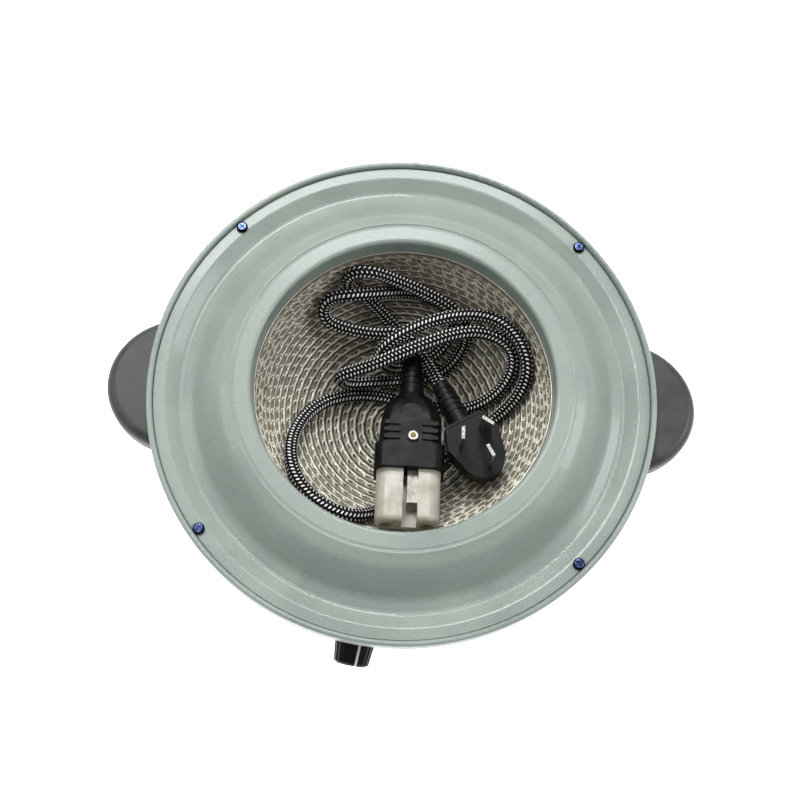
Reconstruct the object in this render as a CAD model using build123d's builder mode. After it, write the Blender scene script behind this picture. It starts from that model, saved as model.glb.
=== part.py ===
from build123d import *
import math
import os

os.makedirs("parts", exist_ok=True)

# Laboratory heating mantle for a 1000 ml round-bottom flask, with its mains lead lying in the cup.
# Millimetres. The origin is on the casing's axis at the floor, +Z is up, the controls face -Y
# and the handles lie along X.

# Driving dimensions
RIM_HEIGHT = 125.0
RIM_RADIUS = 122.5
OPENING_RADIUS = 72.1
CUP_RADIUS = 73.5
CUP_DEPTH = 62.0
CUP_CENTRE = 122.0
CUP_THICKNESS = 5.0
FOOT_HEIGHT = 12.0
FOOT_ANGLES = (45, 135, 225, 315)
CORD_DIAMETER = 6.8

# Sheet metal
CASING_SHEET = 1.4
COVER_SHEET = 1.2
BOWL_SHEET = 1.2
PLATE_SHEET = 1.5
HEM = 2.8
CLEARANCE = 0.1


def corner(sketch, point):
    """The vertex of a sketch nearest to a point, for a fillet."""
    return sketch.vertices().sort_by_distance(point)[0]


def ellipse_point(radius, depth, centre, turn):
    """A point of a cup's half ellipse, turn degrees up from its pole."""
    return (radius * math.sin(math.radians(turn)), centre - depth * math.cos(math.radians(turn)))


# ---- Casing: one spun sheet with a hemmed rim, an inner shelf and a base flange ----
WALL_BOTTOM_RADIUS = 97.9
WALL_TOP_RADIUS = 117.2
PLATE_TOP = FOOT_HEIGHT + PLATE_SHEET
WALL_TOP = RIM_HEIGHT - 15.0
FLARE_TOP = RIM_HEIGHT - 9.5
SHELF_TOP = RIM_HEIGHT - 4.8
SHELF_RADIUS = 115.5
FLANGE_RADIUS = 88.0
WALL_SLOPE = (WALL_TOP_RADIUS - WALL_BOTTOM_RADIUS) / (WALL_TOP - PLATE_TOP)
WALL_TILT = math.degrees(math.atan(WALL_SLOPE))


def wall_radius(height):
    """Outer radius of the casing's conical wall."""
    return WALL_BOTTOM_RADIUS + WALL_SLOPE * (height - PLATE_TOP)


def wall_plane(azimuth, height):
    """Plane on the wall's outer face: x along the wall, y up it, z outward."""
    angle = math.radians(azimuth)
    tilt = math.radians(WALL_TILT)
    radius = wall_radius(height)
    return Plane(
        origin=(radius * math.cos(angle), radius * math.sin(angle), height),
        x_dir=(-math.sin(angle), math.cos(angle), 0),
        z_dir=(math.cos(angle) * math.cos(tilt), math.sin(angle) * math.cos(tilt), -math.sin(tilt)),
    )


CONTROL_HEIGHT = 90.0
KNOB_PLANE = wall_plane(-98.2, CONTROL_HEIGHT)
SWITCH_PLANE = wall_plane(-81.8, CONTROL_HEIGHT)
BUSHING_DIAMETER = 7.0
SWITCH_LENGTH = 19.0
SWITCH_WIDTH = 13.0

INLET_HEIGHT = 50.0
INLET_WIDTH = 40.0
INLET_DEPTH = 26.0
INLET_SCREW_SPREAD = 24.0

HANDLE_MIDDLE = 109.5
HANDLE_SCREW_HEIGHT = 106.0
HANDLE_SCREW_SPREAD = 22.0
SCREW_DIAMETER = 4.0
SCREW_HOLE = SCREW_DIAMETER + 2 * CLEARANCE
RIM_SCREW_RADIUS = 116.8
RIM_SCREW_HOLE = 3.2
RIM_SCREW_ANGLES = (43.4, 136.0, 218.6, 316.4)
BASE_SCREW_RADIUS = 92.0
HEM_FILLET = 1.3
FLARE_FILLET = 3.0
NECK_FILLET = 5.0
HEEL_FILLET = 2.4
INLET_CORNER = 8.0

wall_inside = CASING_SHEET / math.cos(math.radians(WALL_TILT))
HEM_RADIUS = RIM_RADIUS - HEM
RIM_CORNER = (RIM_RADIUS, RIM_HEIGHT)
HEM_CORNER = (HEM_RADIUS, RIM_HEIGHT)
FLARE_CORNER = (RIM_RADIUS, FLARE_TOP)
NECK_CORNER = (WALL_TOP_RADIUS, WALL_TOP)
HEEL_CORNER = (WALL_BOTTOM_RADIUS, PLATE_TOP)
INNER_FLARE = (RIM_RADIUS - CASING_SHEET, FLARE_TOP + 0.6)
INNER_NECK = (WALL_TOP_RADIUS - wall_inside, WALL_TOP + 0.5)
INNER_HEEL = (WALL_BOTTOM_RADIUS - wall_inside, PLATE_TOP + CASING_SHEET)

with BuildPart() as casing:
    with BuildSketch(Plane.XZ) as casing_profile:
        with BuildLine():
            Polyline(
                (FLANGE_RADIUS, PLATE_TOP),
                HEEL_CORNER,
                NECK_CORNER,
                FLARE_CORNER,
                RIM_CORNER,
                HEM_CORNER,
                (HEM_RADIUS, SHELF_TOP),
                (SHELF_RADIUS, SHELF_TOP),
                (SHELF_RADIUS, SHELF_TOP - CASING_SHEET),
                (RIM_RADIUS - CASING_SHEET, SHELF_TOP - CASING_SHEET),
                INNER_FLARE,
                INNER_NECK,
                INNER_HEEL,
                (FLANGE_RADIUS, PLATE_TOP + CASING_SHEET),
                close=True,
            )
        make_face()
        fillet([corner(casing_profile, RIM_CORNER), corner(casing_profile, HEM_CORNER)], radius=HEM_FILLET)
        flare_corners = [corner(casing_profile, place) for place in (FLARE_CORNER, INNER_FLARE)]
        fillet(flare_corners, radius=FLARE_FILLET)
        neck_corners = [corner(casing_profile, place) for place in (NECK_CORNER, INNER_NECK)]
        fillet(neck_corners, radius=NECK_FILLET)
        fillet(corner(casing_profile, HEEL_CORNER), radius=HEEL_FILLET)
        fillet(corner(casing_profile, INNER_HEEL), radius=HEEL_FILLET - CASING_SHEET)
    revolve(axis=Axis.Z)
    with BuildSketch(KNOB_PLANE):
        Circle(BUSHING_DIAMETER / 2 + CLEARANCE)
    extrude(amount=-4 * CASING_SHEET, mode=Mode.SUBTRACT)
    with BuildSketch(SWITCH_PLANE):
        Rectangle(SWITCH_WIDTH + 2 * CLEARANCE, SWITCH_LENGTH + 2 * CLEARANCE)
    extrude(amount=3 * CASING_SHEET, both=True, mode=Mode.SUBTRACT)
    with BuildSketch(Plane.XZ.offset(-RIM_RADIUS)):
        with Locations((0, INLET_HEIGHT)):
            RectangleRounded(INLET_WIDTH + 2 * CLEARANCE, INLET_DEPTH + 2 * CLEARANCE, INLET_CORNER)
        with Locations((-INLET_SCREW_SPREAD, INLET_HEIGHT), (INLET_SCREW_SPREAD, INLET_HEIGHT)):
            Circle(SCREW_HOLE / 2)
    extrude(amount=RIM_RADIUS / 2, mode=Mode.SUBTRACT)
    with BuildSketch(Plane.YZ.offset(-RIM_RADIUS)):
        with GridLocations(2 * HANDLE_SCREW_SPREAD, 0, 2, 1):
            with Locations((0, HANDLE_SCREW_HEIGHT)):
                Circle(SCREW_HOLE / 2)
    extrude(amount=2 * RIM_RADIUS, mode=Mode.SUBTRACT)
    with BuildSketch(Plane.XY.offset(SHELF_TOP)):
        for angle in RIM_SCREW_ANGLES:
            with PolarLocations(RIM_SCREW_RADIUS, 1, start_angle=angle):
                Circle(RIM_SCREW_HOLE / 2)
    extrude(amount=-2 * CASING_SHEET, mode=Mode.SUBTRACT)
    with BuildSketch(Plane.XY.offset(PLATE_TOP)):
        with PolarLocations(BASE_SCREW_RADIUS, 4, start_angle=FOOT_ANGLES[0]):
            Circle(SCREW_HOLE / 2)
    extrude(amount=2 * CASING_SHEET, mode=Mode.SUBTRACT)
casing.part.label = "casing"
export_step(casing.part, "parts/casing.step")

# ---- Inner bowl: spun sheet hung by its flange on the casing's shelf ----
BOWL_RADIUS = 93.0
BOWL_DEPTH = 80.0
BOWL_CENTRE = 120.0
BOWL_STEP = 112.4
LEAD_SPREAD = 6.0
LEAD_PLACES = ((0, -LEAD_SPREAD), (0, LEAD_SPREAD))
BUSH_RADIUS = 11.8
BUSH_HOLE_RADIUS = 12.0
FLANGE_TOP = SHELF_TOP + BOWL_SHEET
FLANGE_EDGE = HEM_RADIUS - 0.5
FLANGE_ROOT = SHELF_RADIUS - 1.1
STEP_OUTSIDE = SHELF_RADIUS - 0.9
STEP_INSIDE = SHELF_RADIUS - 2.0


def bowl_arc(radius, depth, centre, top):
    """Half ellipse of a bowl's section, from the edge of its lead hole up to a height."""
    start = -math.degrees(math.acos(BUSH_HOLE_RADIUS / radius))
    end = math.degrees(math.asin((top - centre) / depth))
    return EllipticalCenterArc((0, centre), radius, depth, start_angle=start, arc_size=end - start)


with BuildPart() as inner_bowl:
    with BuildSketch(Plane.XZ) as bowl_profile:
        with BuildLine():
            bowl_outside = bowl_arc(BOWL_RADIUS, BOWL_DEPTH, BOWL_CENTRE, BOWL_STEP)
            bowl_inside = bowl_arc(
                BOWL_RADIUS - BOWL_SHEET, BOWL_DEPTH - BOWL_SHEET, BOWL_CENTRE, BOWL_STEP + BOWL_SHEET
            )
            Polyline(
                bowl_outside @ 1,
                (STEP_OUTSIDE, BOWL_STEP),
                (SHELF_RADIUS - CLEARANCE, SHELF_TOP),
                (FLANGE_EDGE, SHELF_TOP),
                (FLANGE_EDGE, FLANGE_TOP),
                (FLANGE_ROOT, FLANGE_TOP),
                (STEP_INSIDE, BOWL_STEP + BOWL_SHEET),
                bowl_inside @ 1,
            )
            Line(bowl_outside @ 0, bowl_inside @ 0)
        make_face()
        fillet(corner(bowl_profile, (FLANGE_ROOT, FLANGE_TOP)), radius=BOWL_SHEET - 0.2)
        fillet(corner(bowl_profile, (STEP_OUTSIDE, BOWL_STEP)), radius=2 * BOWL_SHEET - 0.4)
    revolve(axis=Axis.Z)
    with BuildSketch(Plane.XY.offset(FLANGE_TOP)):
        for angle in RIM_SCREW_ANGLES:
            with PolarLocations(RIM_SCREW_RADIUS, 1, start_angle=angle):
                Circle(RIM_SCREW_HOLE / 2)
    extrude(amount=-4 * BOWL_SHEET, mode=Mode.SUBTRACT)
inner_bowl.part.label = "inner_bowl"
export_step(inner_bowl.part, "parts/inner_bowl.step")

# ---- Top cover: spun sheet with a screwed ledge, a spill channel and a raised, curled opening ----
LEDGE_TOP = FLANGE_TOP + COVER_SHEET
COVER_EDGE = HEM_RADIUS - 0.4
LEDGE_END = (113.9, LEDGE_TOP)
CHANNEL = (107.0, RIM_HEIGHT - 6.5)
SLOPE_FOOT = (101.0, RIM_HEIGHT - 4.6)
SLOPE_HEAD = (88.0, RIM_HEIGHT + 7.8)
SHOULDER = (82.2, RIM_HEIGHT + 10.8)
GROOVE = (81.2, RIM_HEIGHT + 10.1)
RING_START = (80.0, RIM_HEIGHT + 10.5)
RING_END = (OPENING_RADIUS, RIM_HEIGHT + 10.5)
CURL_END = (OPENING_RADIUS - 0.5, RIM_HEIGHT + 0.7)
COVER_BENDS = (2.0, 3.0, 9.0, 12.0, 0.8, 0.4, 0.6, 2.0)

with BuildPart() as top_cover:
    with BuildSketch(Plane.XZ):
        with BuildLine():
            FilletPolyline(
                (COVER_EDGE, LEDGE_TOP),
                LEDGE_END,
                CHANNEL,
                SLOPE_FOOT,
                SLOPE_HEAD,
                SHOULDER,
                GROOVE,
                RING_START,
                RING_END,
                CURL_END,
                radius=COVER_BENDS,
            )
            offset(amount=COVER_SHEET, side=Side.LEFT)
        make_face()
    revolve(axis=Axis.Z)
    with BuildSketch(Plane.XY.offset(LEDGE_TOP)):
        for angle in RIM_SCREW_ANGLES:
            with PolarLocations(RIM_SCREW_RADIUS, 1, start_angle=angle):
                Circle(RIM_SCREW_HOLE / 2)
    extrude(amount=-2 * COVER_SHEET, mode=Mode.SUBTRACT)
top_cover.part.label = "top_cover"
export_step(top_cover.part, "parts/top_cover.step")

# ---- Heating cup: knitted glass fibre in concentric rows, with a bound edge under the curl ----
ROW_COUNT = 24
ROW_RELIEF = 0.45
ROW_STEP = 3.5
CUP_EDGE = (70.8, RIM_HEIGHT - 1.6)
CUP_TOP = RIM_HEIGHT + 0.3
CUP_OUTSIDE = CUP_RADIUS + CUP_THICKNESS
CUP_BOTTOM = CUP_DEPTH + CUP_THICKNESS
EDGE_ROLL = 1.2

row_points = [(0, CUP_CENTRE - CUP_DEPTH)]
for row in range(1, ROW_COUNT + 1):
    for turn, relief in ((row - 0.5, -ROW_RELIEF), (row, ROW_RELIEF)):
        row_points.append(
            ellipse_point(CUP_RADIUS + relief, CUP_DEPTH + relief, CUP_CENTRE, turn * ROW_STEP)
        )

with BuildPart() as heating_cup:
    with BuildSketch(Plane.XZ):
        with BuildLine():
            Polyline(*row_points, CUP_EDGE, (CUP_EDGE[0] + EDGE_ROLL, CUP_TOP), (CUP_OUTSIDE, CUP_TOP),
                     (CUP_OUTSIDE, CUP_CENTRE))
            cup_outside = EllipticalCenterArc(
                (0, CUP_CENTRE), CUP_OUTSIDE, CUP_BOTTOM, start_angle=-90, arc_size=90
            )
            Line(cup_outside @ 0, row_points[0])
        make_face()
    revolve(axis=Axis.Z)
heating_cup.part.label = "heating_cup"
export_step(heating_cup.part, "parts/heating_cup.step")

# ---- Heating element: glass-sheathed resistance tape wound in rings behind the cup ----
TAPE_INSIDE = 0.2
TAPE_OUTSIDE = 1.8
TAPE_TURN = 1.2
RING_TURNS = (7, 20, 33, 46, 59, 72)
LINK_STEPS = 20
LINK_ARC = 3
LINK_STEP = (RING_TURNS[-1] - RING_TURNS[0]) / LINK_STEPS


def tape_section(first_turn, last_turn):
    """Four corners of the tape's section between two turns of the cup's outside."""
    near = (CUP_OUTSIDE + TAPE_INSIDE, CUP_BOTTOM + TAPE_INSIDE)
    far = (CUP_OUTSIDE + TAPE_OUTSIDE, CUP_BOTTOM + TAPE_OUTSIDE)
    return [
        ellipse_point(*near, CUP_CENTRE, first_turn),
        ellipse_point(*near, CUP_CENTRE, last_turn),
        ellipse_point(*far, CUP_CENTRE, last_turn),
        ellipse_point(*far, CUP_CENTRE, first_turn),
    ]


with BuildPart() as heating_element:
    with BuildSketch(Plane.XZ):
        for turn in RING_TURNS:
            with BuildLine():
                Polyline(*tape_section(turn - TAPE_TURN, turn + TAPE_TURN), close=True)
            make_face()
    revolve(axis=Axis.Z)
    with BuildSketch(Plane.XZ):
        for step in range(LINK_STEPS):
            start = RING_TURNS[0] + step * LINK_STEP
            with BuildLine():
                Polyline(*tape_section(start, start + LINK_STEP), close=True)
            make_face()
    revolve(axis=Axis.Z, revolution_arc=LINK_ARC)
heating_element.part.label = "heating_element"
export_step(heating_element.part, "parts/heating_element.step")

# ---- Insulation: glass wool bowl between the element and the inner bowl ----
WOOL_GAP = 0.3
TAPE_GAP = 0.4
WOOL_OUTSIDE = BOWL_RADIUS - BOWL_SHEET - WOOL_GAP
WOOL_BOTTOM = BOWL_DEPTH - BOWL_SHEET - WOOL_GAP
WOOL_INSIDE = CUP_OUTSIDE + TAPE_OUTSIDE + TAPE_GAP
WOOL_HOLLOW = CUP_BOTTOM + TAPE_OUTSIDE + TAPE_GAP
WOOL_TOP = BOWL_CENTRE

with BuildPart() as insulation:
    with BuildSketch(Plane.XZ):
        with BuildLine():
            wool_outside = bowl_arc(WOOL_OUTSIDE, WOOL_BOTTOM, BOWL_CENTRE, WOOL_TOP)
            wool_inside = bowl_arc(WOOL_INSIDE, WOOL_HOLLOW, CUP_CENTRE, WOOL_TOP)
            Line(wool_outside @ 1, wool_inside @ 1)
            Line(wool_outside @ 0, wool_inside @ 0)
        make_face()
    revolve(axis=Axis.Z)
insulation.part.label = "insulation"
export_step(insulation.part, "parts/insulation.step")

# ---- Element leads, their ceramic bush and the terminal block they end on ----
LEAD_DIAMETER = 2.4
BLOCK_HEIGHT = 14.0
BLOCK_WIDTH = 22.0
BLOCK_LENGTH = 36.0
BLOCK_CORNER = 2.0
BLOCK_CHAMFER = 1.0
CLAMP_SPREAD = (12.0, 22.0)
CLAMP_RADIUS = 2.2
CLAMP_DEPTH = 6.0
BLOCK_TOP = PLATE_TOP + BLOCK_HEIGHT
LEAD_TOP = CUP_CENTRE - CUP_BOTTOM - TAPE_OUTSIDE - 0.6
BUSH_TOP = LEAD_TOP - 1.0
BUSH_BOTTOM = BOWL_CENTRE - BOWL_DEPTH - 2.5
BUSH_FLANGE_RADIUS = 15.0
BUSH_FLANGE = 2.6

with BuildPart() as element_leads:
    with BuildSketch(Plane.XY.offset(BLOCK_TOP)):
        with Locations(*LEAD_PLACES):
            Circle(LEAD_DIAMETER / 2)
    extrude(amount=LEAD_TOP - BLOCK_TOP)
element_leads.part.label = "element_leads"
export_step(element_leads.part, "parts/element_leads.step")

with BuildPart() as lead_bush:
    with BuildSketch(Plane.XY.offset(BUSH_BOTTOM)):
        Circle(BUSH_FLANGE_RADIUS)
    extrude(amount=BUSH_FLANGE)
    with BuildSketch(Plane.XY.offset(BUSH_BOTTOM)):
        Circle(BUSH_RADIUS)
    extrude(amount=BUSH_TOP - BUSH_BOTTOM)
    with BuildSketch(Plane.XY.offset(BUSH_BOTTOM)):
        with Locations(*LEAD_PLACES):
            Circle(LEAD_DIAMETER / 2 + CLEARANCE)
    extrude(amount=BUSH_TOP - BUSH_BOTTOM, mode=Mode.SUBTRACT)
lead_bush.part.label = "lead_bush"
export_step(lead_bush.part, "parts/lead_bush.step")

with BuildPart() as terminal_block:
    with BuildSketch(Plane.XY.offset(PLATE_TOP)):
        RectangleRounded(BLOCK_WIDTH, BLOCK_LENGTH, BLOCK_CORNER)
        Circle(SCREW_HOLE / 2, mode=Mode.SUBTRACT)
    extrude(amount=BLOCK_HEIGHT)
    with BuildSketch(Plane.XY.offset(BLOCK_TOP)):
        with GridLocations(*CLAMP_SPREAD, 2, 2):
            Circle(CLAMP_RADIUS)
    extrude(amount=-CLAMP_DEPTH, mode=Mode.SUBTRACT)
    chamfer(terminal_block.faces().sort_by(Axis.Z)[-1].outer_wire().edges(), BLOCK_CHAMFER)
terminal_block.part.label = "terminal_block"
export_step(terminal_block.part, "parts/terminal_block.step")

# ---- Base plate with ventilation slots, its screws, and four rubber feet with theirs ----
PLATE_RADIUS = 96.5
SLOT_RADIUS = 50.0
SLOT_COUNT = 12
SLOT_LENGTH = 24.0
SLOT_WIDTH = 3.0
FOOT_SPREAD = 78.0
FOOT_TOP_RADIUS = 10.0
FOOT_BOTTOM_RADIUS = 8.5
FOOT_RECESS_RADIUS = 4.5
FOOT_RECESS = 5.0
SCREW_HEAD_RADIUS = 3.8
SCREW_HEAD = 2.4
HEAD_TAPER = 20
HEAD_FILLET = 1.2
SCREW_SPARE = 3.0
SLOT_TURN = 15

with BuildPart() as base_plate:
    with BuildSketch(Plane.XY.offset(FOOT_HEIGHT)):
        Circle(PLATE_RADIUS)
        with PolarLocations(SLOT_RADIUS, SLOT_COUNT, start_angle=SLOT_TURN):
            SlotOverall(SLOT_LENGTH, SLOT_WIDTH, mode=Mode.SUBTRACT)
        with PolarLocations(BASE_SCREW_RADIUS, 4, start_angle=FOOT_ANGLES[0]):
            Circle(SCREW_HOLE / 2, mode=Mode.SUBTRACT)
        with PolarLocations(FOOT_SPREAD, 4, start_angle=FOOT_ANGLES[0]):
            Circle(SCREW_HOLE / 2, mode=Mode.SUBTRACT)
    extrude(amount=PLATE_SHEET)
base_plate.part.label = "base_plate"
export_step(base_plate.part, "parts/base_plate.step")

with BuildPart() as base_screws:
    with BuildSketch(Plane.XY.offset(FOOT_HEIGHT)):
        with PolarLocations(BASE_SCREW_RADIUS, 4, start_angle=FOOT_ANGLES[0]):
            Circle(SCREW_HEAD_RADIUS)
    extrude(amount=-SCREW_HEAD, taper=HEAD_TAPER)
    with BuildSketch(Plane.XY.offset(FOOT_HEIGHT)):
        with PolarLocations(BASE_SCREW_RADIUS, 4, start_angle=FOOT_ANGLES[0]):
            Circle(SCREW_DIAMETER / 2)
    extrude(amount=PLATE_SHEET + CASING_SHEET + SCREW_SPARE)
base_screws.part.label = "base_screws"
export_step(base_screws.part, "parts/base_screws.step")

for number, angle in enumerate(FOOT_ANGLES, start=1):
    turn = math.radians(angle)
    foot_plane = Plane((FOOT_SPREAD * math.cos(turn), FOOT_SPREAD * math.sin(turn), 0))
    with BuildPart() as foot:
        with BuildSketch(foot_plane):
            Circle(FOOT_BOTTOM_RADIUS)
        with BuildSketch(foot_plane.offset(FOOT_HEIGHT)):
            Circle(FOOT_TOP_RADIUS)
        loft()
        with BuildSketch(foot_plane):
            Circle(SCREW_HOLE / 2)
        extrude(amount=FOOT_HEIGHT, mode=Mode.SUBTRACT)
        with BuildSketch(foot_plane):
            Circle(FOOT_RECESS_RADIUS)
        extrude(amount=FOOT_RECESS, mode=Mode.SUBTRACT)
    foot.part.label = f"foot_{number}"
    export_step(foot.part, f"parts/foot_{number}.step")

with BuildPart() as foot_screws:
    with BuildSketch(Plane.XY.offset(FOOT_RECESS)):
        with PolarLocations(FOOT_SPREAD, 4, start_angle=FOOT_ANGLES[0]):
            Circle(SCREW_HEAD_RADIUS)
    extrude(amount=-SCREW_HEAD, taper=HEAD_TAPER)
    with BuildSketch(Plane.XY.offset(FOOT_RECESS)):
        with PolarLocations(FOOT_SPREAD, 4, start_angle=FOOT_ANGLES[0]):
            Circle(SCREW_DIAMETER / 2)
    extrude(amount=PLATE_TOP + SCREW_SPARE - FOOT_RECESS)
foot_screws.part.label = "foot_screws"
export_step(foot_screws.part, "parts/foot_screws.step")

# ---- Cover screws: four cross-recessed pan heads on the ledge ----
PAN_RADIUS = 2.85
PAN_HEIGHT = 1.9
PAN_SHANK = 6.0
CROSS_LENGTH = 2.8
CROSS_WIDTH = 0.6
CROSS_DEPTH = 1.1

with BuildPart() as cover_screws:
    with BuildSketch(Plane.XY.offset(LEDGE_TOP)):
        for angle in RIM_SCREW_ANGLES:
            with PolarLocations(RIM_SCREW_RADIUS, 1, start_angle=angle):
                Circle(PAN_RADIUS)
    extrude(amount=PAN_HEIGHT)
    fillet(cover_screws.faces().sort_by(Axis.Z)[-4:].edges(), radius=HEAD_FILLET)
    with BuildSketch(Plane.XY.offset(LEDGE_TOP)):
        for angle in RIM_SCREW_ANGLES:
            with PolarLocations(RIM_SCREW_RADIUS, 1, start_angle=angle):
                Circle(RIM_SCREW_HOLE / 2 - CLEARANCE)
    extrude(amount=-PAN_SHANK)
    with BuildSketch(Plane.XY.offset(LEDGE_TOP + PAN_HEIGHT)):
        for angle in RIM_SCREW_ANGLES:
            with PolarLocations(RIM_SCREW_RADIUS, 1, start_angle=angle):
                Rectangle(CROSS_LENGTH, CROSS_WIDTH)
                Rectangle(CROSS_WIDTH, CROSS_LENGTH)
    extrude(amount=-CROSS_DEPTH, mode=Mode.SUBTRACT)
cover_screws.part.label = "cover_screws"
export_step(cover_screws.part, "parts/cover_screws.step")

# ---- Carrying handles: moulded half-ellipse lugs under the rim, hollow below for the fingers ----
HANDLE_REACH = 143.3
HANDLE_ROOT = 106.0
HANDLE_HALF_WIDTH = 34.0
HANDLE_HEIGHT = 16.0
HANDLE_WALL = 6.0
GRIP_ROOT = 122.5
GRIP_DEPTH = 8.5
HANDLE_BOTTOM = HANDLE_MIDDLE - HANDLE_HEIGHT / 2
HANDLE_SCREW_START = 111.0
HANDLE_SCREW_END = 121.0
HANDLE_HEAD = 2.2
HANDLE_FILLET = 5.0

for side, name in ((-1, "left_handle"), (1, "right_handle")):
    with BuildPart() as handle:
        with BuildSketch(Plane.XY.offset(HANDLE_BOTTOM)):
            Ellipse(HANDLE_REACH - HANDLE_ROOT, HANDLE_HALF_WIDTH)
        extrude(amount=HANDLE_HEIGHT)
        fillet(handle.edges().filter_by(GeomType.ELLIPSE), radius=HANDLE_FILLET)
        with BuildSketch(Plane.XY.offset(HANDLE_BOTTOM)):
            Ellipse(HANDLE_REACH - HANDLE_ROOT - HANDLE_WALL, HANDLE_HALF_WIDTH - HANDLE_WALL)
            with Locations((-side * (HANDLE_REACH - GRIP_ROOT), 0)):
                Rectangle(2 * (HANDLE_REACH - HANDLE_ROOT), 2 * HANDLE_HALF_WIDTH, mode=Mode.SUBTRACT)
        extrude(amount=GRIP_DEPTH, mode=Mode.SUBTRACT)
    handle_body = Pos(side * HANDLE_ROOT, 0, 0) * handle.part
    with BuildPart() as fitted_handle:
        add(handle_body)
        with BuildSketch(Plane.XZ) as casing_outside:
            with BuildLine():
                Polyline(
                    (0, PLATE_TOP),
                    (WALL_BOTTOM_RADIUS + CLEARANCE, PLATE_TOP),
                    (WALL_TOP_RADIUS + CLEARANCE, WALL_TOP),
                    (RIM_RADIUS + CLEARANCE, FLARE_TOP),
                    (RIM_RADIUS + CLEARANCE, RIM_HEIGHT),
                    (0, RIM_HEIGHT),
                    close=True,
                )
            make_face()
            fillet(corner(casing_outside, NECK_CORNER), radius=NECK_FILLET)
        revolve(axis=Axis.Z, mode=Mode.SUBTRACT)
        with BuildSketch(Plane.YZ):
            with GridLocations(2 * HANDLE_SCREW_SPREAD, 0, 2, 1):
                with Locations((0, HANDLE_SCREW_HEIGHT)):
                    Circle(SCREW_DIAMETER / 2 + CLEARANCE)
        extrude(amount=side * (HANDLE_SCREW_END + 1), mode=Mode.SUBTRACT)
    fitted_handle.part.label = name
    export_step(fitted_handle.part, f"parts/{name}.step")

with BuildPart() as handle_screws:
    for side in (-1, 1):
        with BuildSketch(Plane.YZ.offset(side * HANDLE_SCREW_START)):
            with GridLocations(2 * HANDLE_SCREW_SPREAD, 0, 2, 1):
                with Locations((0, HANDLE_SCREW_HEIGHT)):
                    Circle(SCREW_DIAMETER / 2)
        extrude(amount=side * (HANDLE_SCREW_END - HANDLE_SCREW_START))
        with BuildSketch(Plane.YZ.offset(side * HANDLE_SCREW_START)):
            with GridLocations(2 * HANDLE_SCREW_SPREAD, 0, 2, 1):
                with Locations((0, HANDLE_SCREW_HEIGHT)):
                    Circle(SCREW_HEAD_RADIUS)
        extrude(amount=-side * HANDLE_HEAD)
handle_screws.part.label = "handle_screws"
export_step(handle_screws.part, "parts/handle_screws.step")

# ---- Control knob with twenty flutes, its shaft, and the potentiometer behind the wall ----
KNOB_START = 0.8
KNOB_END = 15.2
KNOB_BASE_RADIUS = 10.0
KNOB_END_RADIUS = 8.25
FLUTE_COUNT = 20
FLUTE_SHARE = 0.09
POINTER_ANGLE = 18.0
POINTER_WIDTH = 1.1
POINTER_LENGTH = 6.0
POINTER_PLACE = KNOB_BASE_RADIUS - 1.5
POINTER_DEPTH = 0.5
KNOB_BEVEL = 1.2
KNOB_BEVEL_DEPTH = 2.2
KNOB_SKIRT_RADIUS = 6.8
KNOB_SKIRT_DEPTH = 3.0
SHAFT_DIAMETER = 6.0
SHAFT_TOP = KNOB_START + 12.0
SHAFT_BOTTOM = -6.4
SHAFT_PLAY = 0.2
NUT_HEIGHT = 2.0
POT_FRONT = -2.4
POT_DEPTH = 9.5
POT_RADIUS = 12.0
POT_FILLET = 0.8
POT_LUG = (16.0, 8.0)
BUSHING_TOP = 3.2
NUT_RADIUS = 5.0
NUT_START = 0.1


def fluted_circle(radius):
    """A circle with shallow round flutes, inside a sketch."""
    Circle(radius)
    with PolarLocations(radius * (1 + FLUTE_SHARE / 3), FLUTE_COUNT):
        Circle(radius * FLUTE_SHARE, mode=Mode.SUBTRACT)


with BuildPart() as knob:
    with BuildSketch(KNOB_PLANE.offset(KNOB_START)):
        fluted_circle(KNOB_BASE_RADIUS)
    with BuildSketch(KNOB_PLANE.offset(KNOB_END)):
        fluted_circle(KNOB_END_RADIUS)
    loft(ruled=True)
    with BuildSketch(KNOB_PLANE.offset(KNOB_END)):
        Circle(KNOB_END_RADIUS + 1)
        Circle(KNOB_END_RADIUS - KNOB_BEVEL, mode=Mode.SUBTRACT)
    extrude(amount=-KNOB_BEVEL_DEPTH, taper=45, mode=Mode.SUBTRACT)
    with BuildSketch(KNOB_PLANE.offset(KNOB_START)):
        Circle(KNOB_SKIRT_RADIUS)
    extrude(amount=KNOB_SKIRT_DEPTH, mode=Mode.SUBTRACT)
    with BuildSketch(KNOB_PLANE.offset(KNOB_START)):
        Circle(SHAFT_DIAMETER / 2)
    extrude(amount=SHAFT_TOP + SHAFT_PLAY - KNOB_START, mode=Mode.SUBTRACT)
    with BuildSketch(KNOB_PLANE.offset(KNOB_END)):
        with Locations(Rotation(0, 0, -POINTER_ANGLE)):
            with Locations((0, POINTER_PLACE)):
                Rectangle(POINTER_WIDTH, POINTER_LENGTH)
    extrude(amount=-POINTER_DEPTH, mode=Mode.SUBTRACT)
knob.part.label = "knob"
export_step(knob.part, "parts/knob.step")

with BuildPart() as potentiometer_shaft:
    with BuildSketch(KNOB_PLANE.offset(SHAFT_TOP)):
        Circle(SHAFT_DIAMETER / 2)
    extrude(amount=SHAFT_BOTTOM - SHAFT_TOP)
potentiometer_shaft.part.label = "potentiometer_shaft"
export_step(potentiometer_shaft.part, "parts/potentiometer_shaft.step")

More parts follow.
